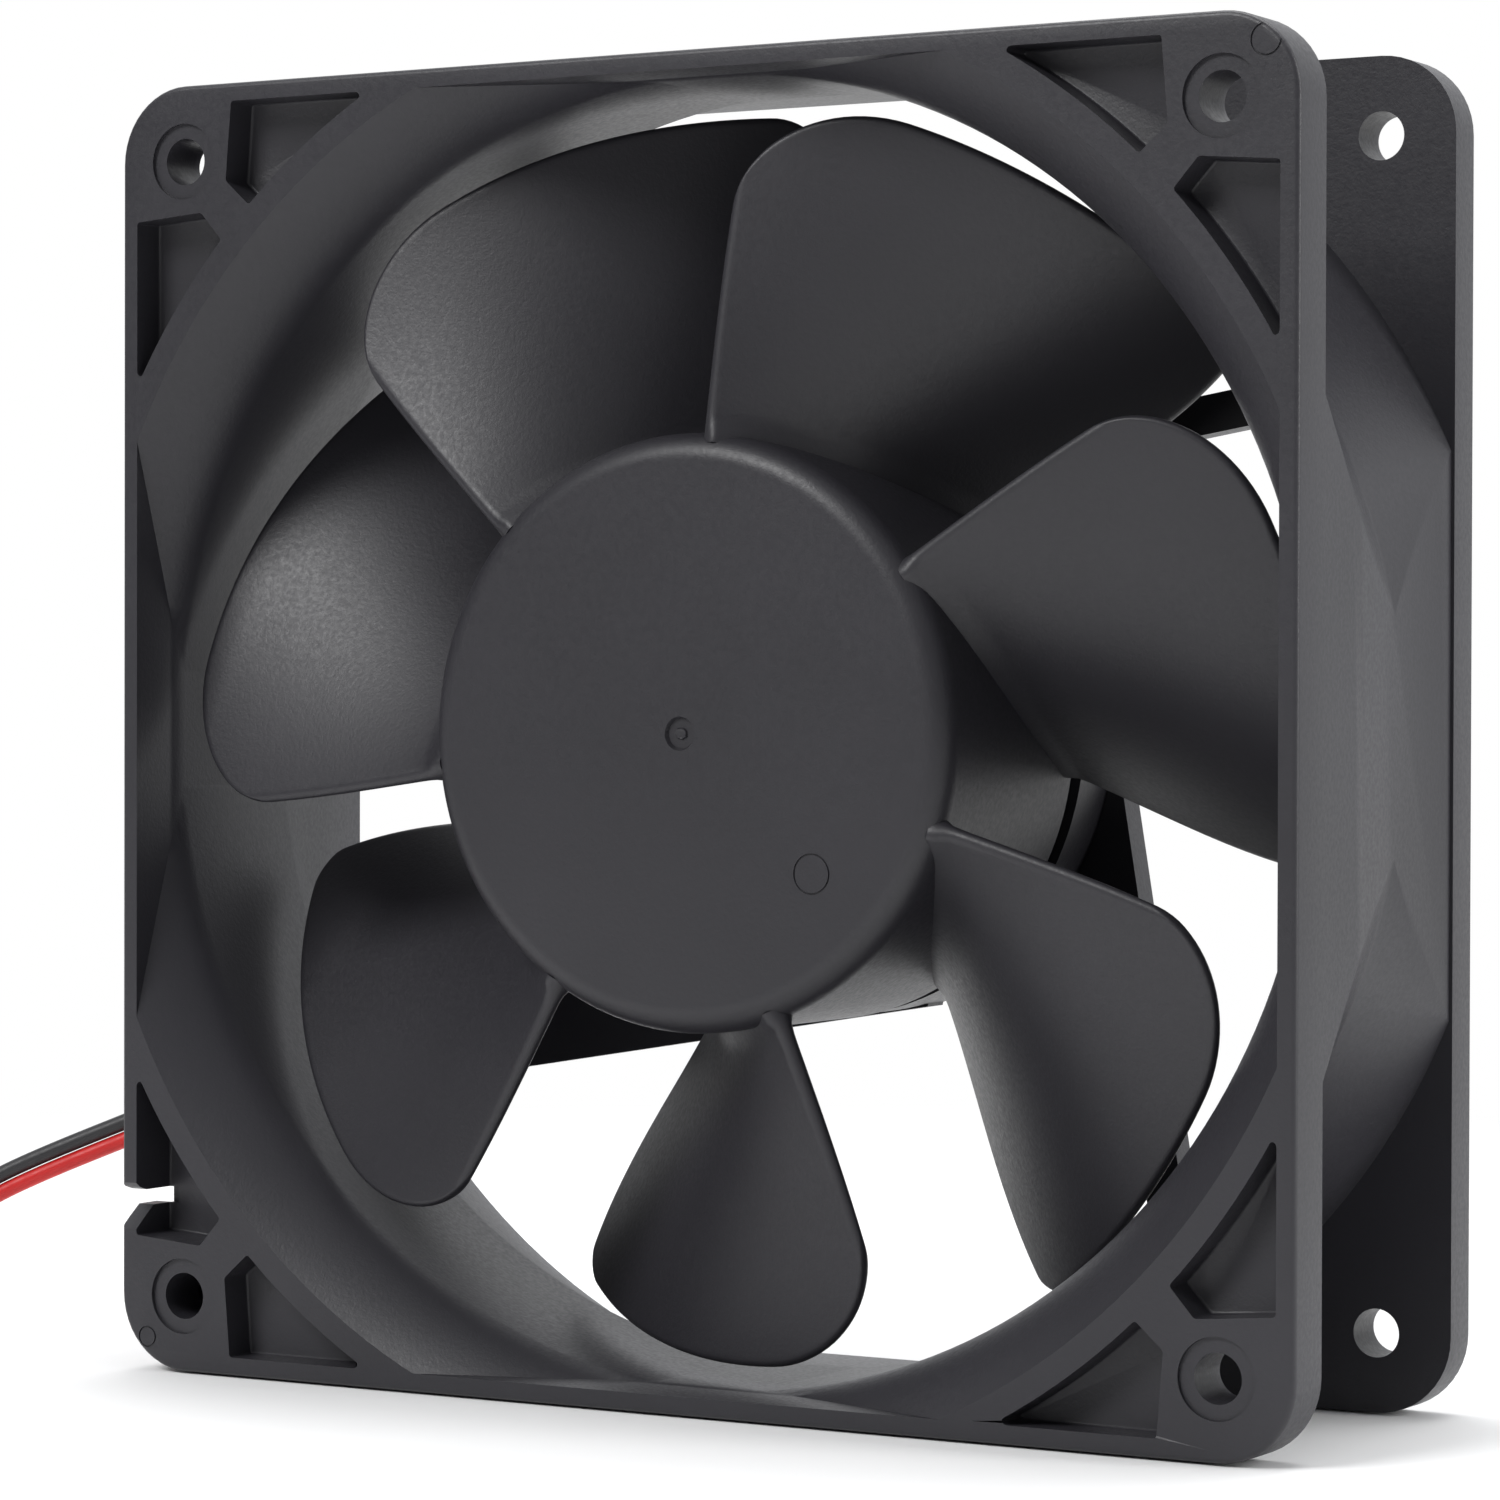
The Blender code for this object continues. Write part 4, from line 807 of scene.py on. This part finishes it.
def tail_route(colour):
    side = 1 if colour == "red" else -1
    if colour == "red":
        rise = [(-2.6, 0.8, 1.9), (-1.7, -1.2, 3.2), (-0.4, -3.0, 4.7), (0.6, -5.0, 5.5)]
    else:
        rise = [(-2.6, 0.8, 4.2), (-2.8, -1.2, 4.9), (-2.5, -3.2, 5.4), (-2.0, -5.2, 5.5)]
    over = [(1.2 * side, -8.5, 5.5), (1.3 * side, -12.0, 5.5), (1.3 * side, -14.5, 4.9), (1.3 * side, -17.2, 3.5)]
    x, y = COIL_CENTRE
    middle = CONNECTOR_HEIGHT / 2
    pin_x = CONNECTOR_X + side * PIN_PITCH / 2
    route = [(x + across, y + along, height) for across, along, height in rise + over]
    route += [(pin_x, CONNECTOR_FRONT + 0.3, middle + 0.1), (pin_x, CONNECTOR_FRONT - 2.2, middle)]
    return route


def build_lead(colour):
    route = free_route(colour) + coil_route(colour) + tail_route(colour)
    points = catmull(route, 1.0)
    curve = bpy.data.curves.new(f"cord_{colour}", "CURVE")
    curve.dimensions = "3D"
    curve.bevel_depth = LEAD_RADIUS * MM
    curve.bevel_resolution = 5
    curve.use_fill_caps = True
    spline = curve.splines.new("POLY")
    spline.points.add(len(points) - 1)
    for target, point in zip(spline.points, points):
        target.co = (*(point * MM), 1.0)
    spline.use_smooth = True
    curve.materials.append(materials[f"{colour}_insulation"])
    lead = bpy.data.objects.new(f"cord_{colour}", curve)
    bpy.context.scene.collection.objects.link(lead)
    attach(lead, "root")
    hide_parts(f"lead_{colour}", f"lead_coil_{colour}", f"lead_{colour}_tail")
    start = Vector(in_world(LEAD_OUT[colour], FREE_START, EXIT_DEPTH)) * MM
    length = sum((b - a).length for a, b in zip(points, points[1:])) * MM
    print(colour, "lead length", round(length, 4))
    return lead, tuple(start)


# CAD nodes that keep their shape -------------------------------------------------------------------

def finish_cad_nodes():
    for entry in frame["record"]["subparts"]:
        obj = nodes[entry["node"]]
        if obj.type != "MESH":
            continue
        for slot in obj.material_slots:
            slot.material = materials[entry["material_slot"]]


# Surroundings --------------------------------------------------------------------------------------

def flat_material(name, colour, roughness=0.9, glow=0.0):
    g = Graph(name)
    g.shader.inputs["Base Color"].default_value = (*colour, 1.0)
    g.shader.inputs["Roughness"].default_value = roughness
    if glow:
        g.shader.inputs["Emission Color"].default_value = (1, 1, 1, 1)
        g.shader.inputs["Emission Strength"].default_value = glow
    return g.material


def floor_material():
    """White paper, lit evenly away from the fan so that it runs into the white background."""
    g = Graph("floor")
    g.shader.inputs["Base Color"].default_value = (0.86, 0.86, 0.86, 1.0)
    g.shader.inputs["Roughness"].default_value = 0.9
    distance = g.add("ShaderNodeVectorMath", operation="LENGTH")
    g.link(g.place, distance.inputs[0])
    lit = g.spread(distance.outputs["Value"], 0.0, 1.0, 0.09, 0.30)
    glow = g.add("ShaderNodeEmission")
    glow.inputs["Color"].default_value = (1, 1, 1, 1)
    mixed = g.add("ShaderNodeMixShader")
    g.link(lit, mixed.inputs[0])
    g.link(g.shader.outputs[0], mixed.inputs[1])
    g.link(glow.outputs[0], mixed.inputs[2])
    g.link(mixed.outputs[0], g.tree.nodes["Material Output"].inputs["Surface"])
    return g.material


def build_stage():
    bm = bmesh.new()
    bmesh.ops.create_grid(bm, x_segments=1, y_segments=1, size=3.0)
    mesh = bpy.data.meshes.new("floor")
    bm.to_mesh(mesh)
    bm.free()
    floor = bpy.data.objects.new("floor", mesh)
    floor.location = (0, 0, -0.0002)
    bpy.context.scene.collection.objects.link(floor)
    mesh.materials.append(floor_material())


def add_light(name, place, target, size, power, colour=(1, 1, 1)):
    data = bpy.data.lights.new(name, "AREA")
    data.shape = "RECTANGLE"
    data.size, data.size_y = size
    data.energy = power
    data.color = colour
    light = bpy.data.objects.new(name, data)
    light.location = place
    light.rotation_euler = (Vector(target) - Vector(place)).to_track_quat("-Z", "Y").to_euler()
    bpy.context.scene.collection.objects.link(light)
    return light


def studio_world():
    """A room that is white behind and above, dim in front, and plain white as a background."""
    world = bpy.data.worlds.new("studio")
    world.use_nodes = True
    tree = world.node_tree
    room = tree.nodes["Background"]
    place = tree.nodes.new("ShaderNodeTexCoord")
    axes = tree.nodes.new("ShaderNodeSeparateXYZ")
    tree.links.new(place.outputs["Generated"], axes.inputs[0])
    levels = []
    for axis, ends, values in (("Y", (-0.3, 0.8), (0.05, 0.85)), ("Z", (-0.1, 0.9), (0.0, 0.45))):
        ramp = tree.nodes.new("ShaderNodeMapRange")
        ramp.interpolation_type = "SMOOTHSTEP"
        ramp.inputs["From Min"].default_value, ramp.inputs["From Max"].default_value = ends
        ramp.inputs["To Min"].default_value, ramp.inputs["To Max"].default_value = values
        tree.links.new(axes.outputs[axis], ramp.inputs["Value"])
        levels.append(ramp.outputs["Result"])
    total = tree.nodes.new("ShaderNodeMath")
    tree.links.new(levels[0], total.inputs[0])
    tree.links.new(levels[1], total.inputs[1])
    tree.links.new(total.outputs[0], room.inputs["Strength"])
    room.inputs["Color"].default_value = (0.97, 0.98, 1.0, 1)
    backdrop = tree.nodes.new("ShaderNodeBackground")
    backdrop.inputs["Color"].default_value = (1, 1, 1, 1)
    seen = tree.nodes.new("ShaderNodeLightPath")
    pick = tree.nodes.new("ShaderNodeMixShader")
    tree.links.new(seen.outputs["Is Camera Ray"], pick.inputs[0])
    tree.links.new(room.outputs[0], pick.inputs[1])
    tree.links.new(backdrop.outputs[0], pick.inputs[2])
    tree.links.new(pick.outputs[0], tree.nodes["World Output"].inputs[0])
    bpy.context.scene.world = world


def light_scene():
    studio_world()
    add_light("key", (-0.3, -0.75, 0.75), (0, 0, 0.06), (0.4, 0.4), 8)
    add_light("side", (0.8, 0.12, 0.3), (0, 0, 0.06), (0.15, 0.6), 3.2)
    add_light("above", (0.0, 0.15, 0.9), (0, 0, 0.06), (0.7, 0.4), 5)


add_camera()
build_frame()
build_impeller()
cords = [build_lead("red"), build_lead("black")]
finish_cad_nodes()
build_stage()
light_scene()
bpy.context.scene.view_settings.view_transform = "Standard"
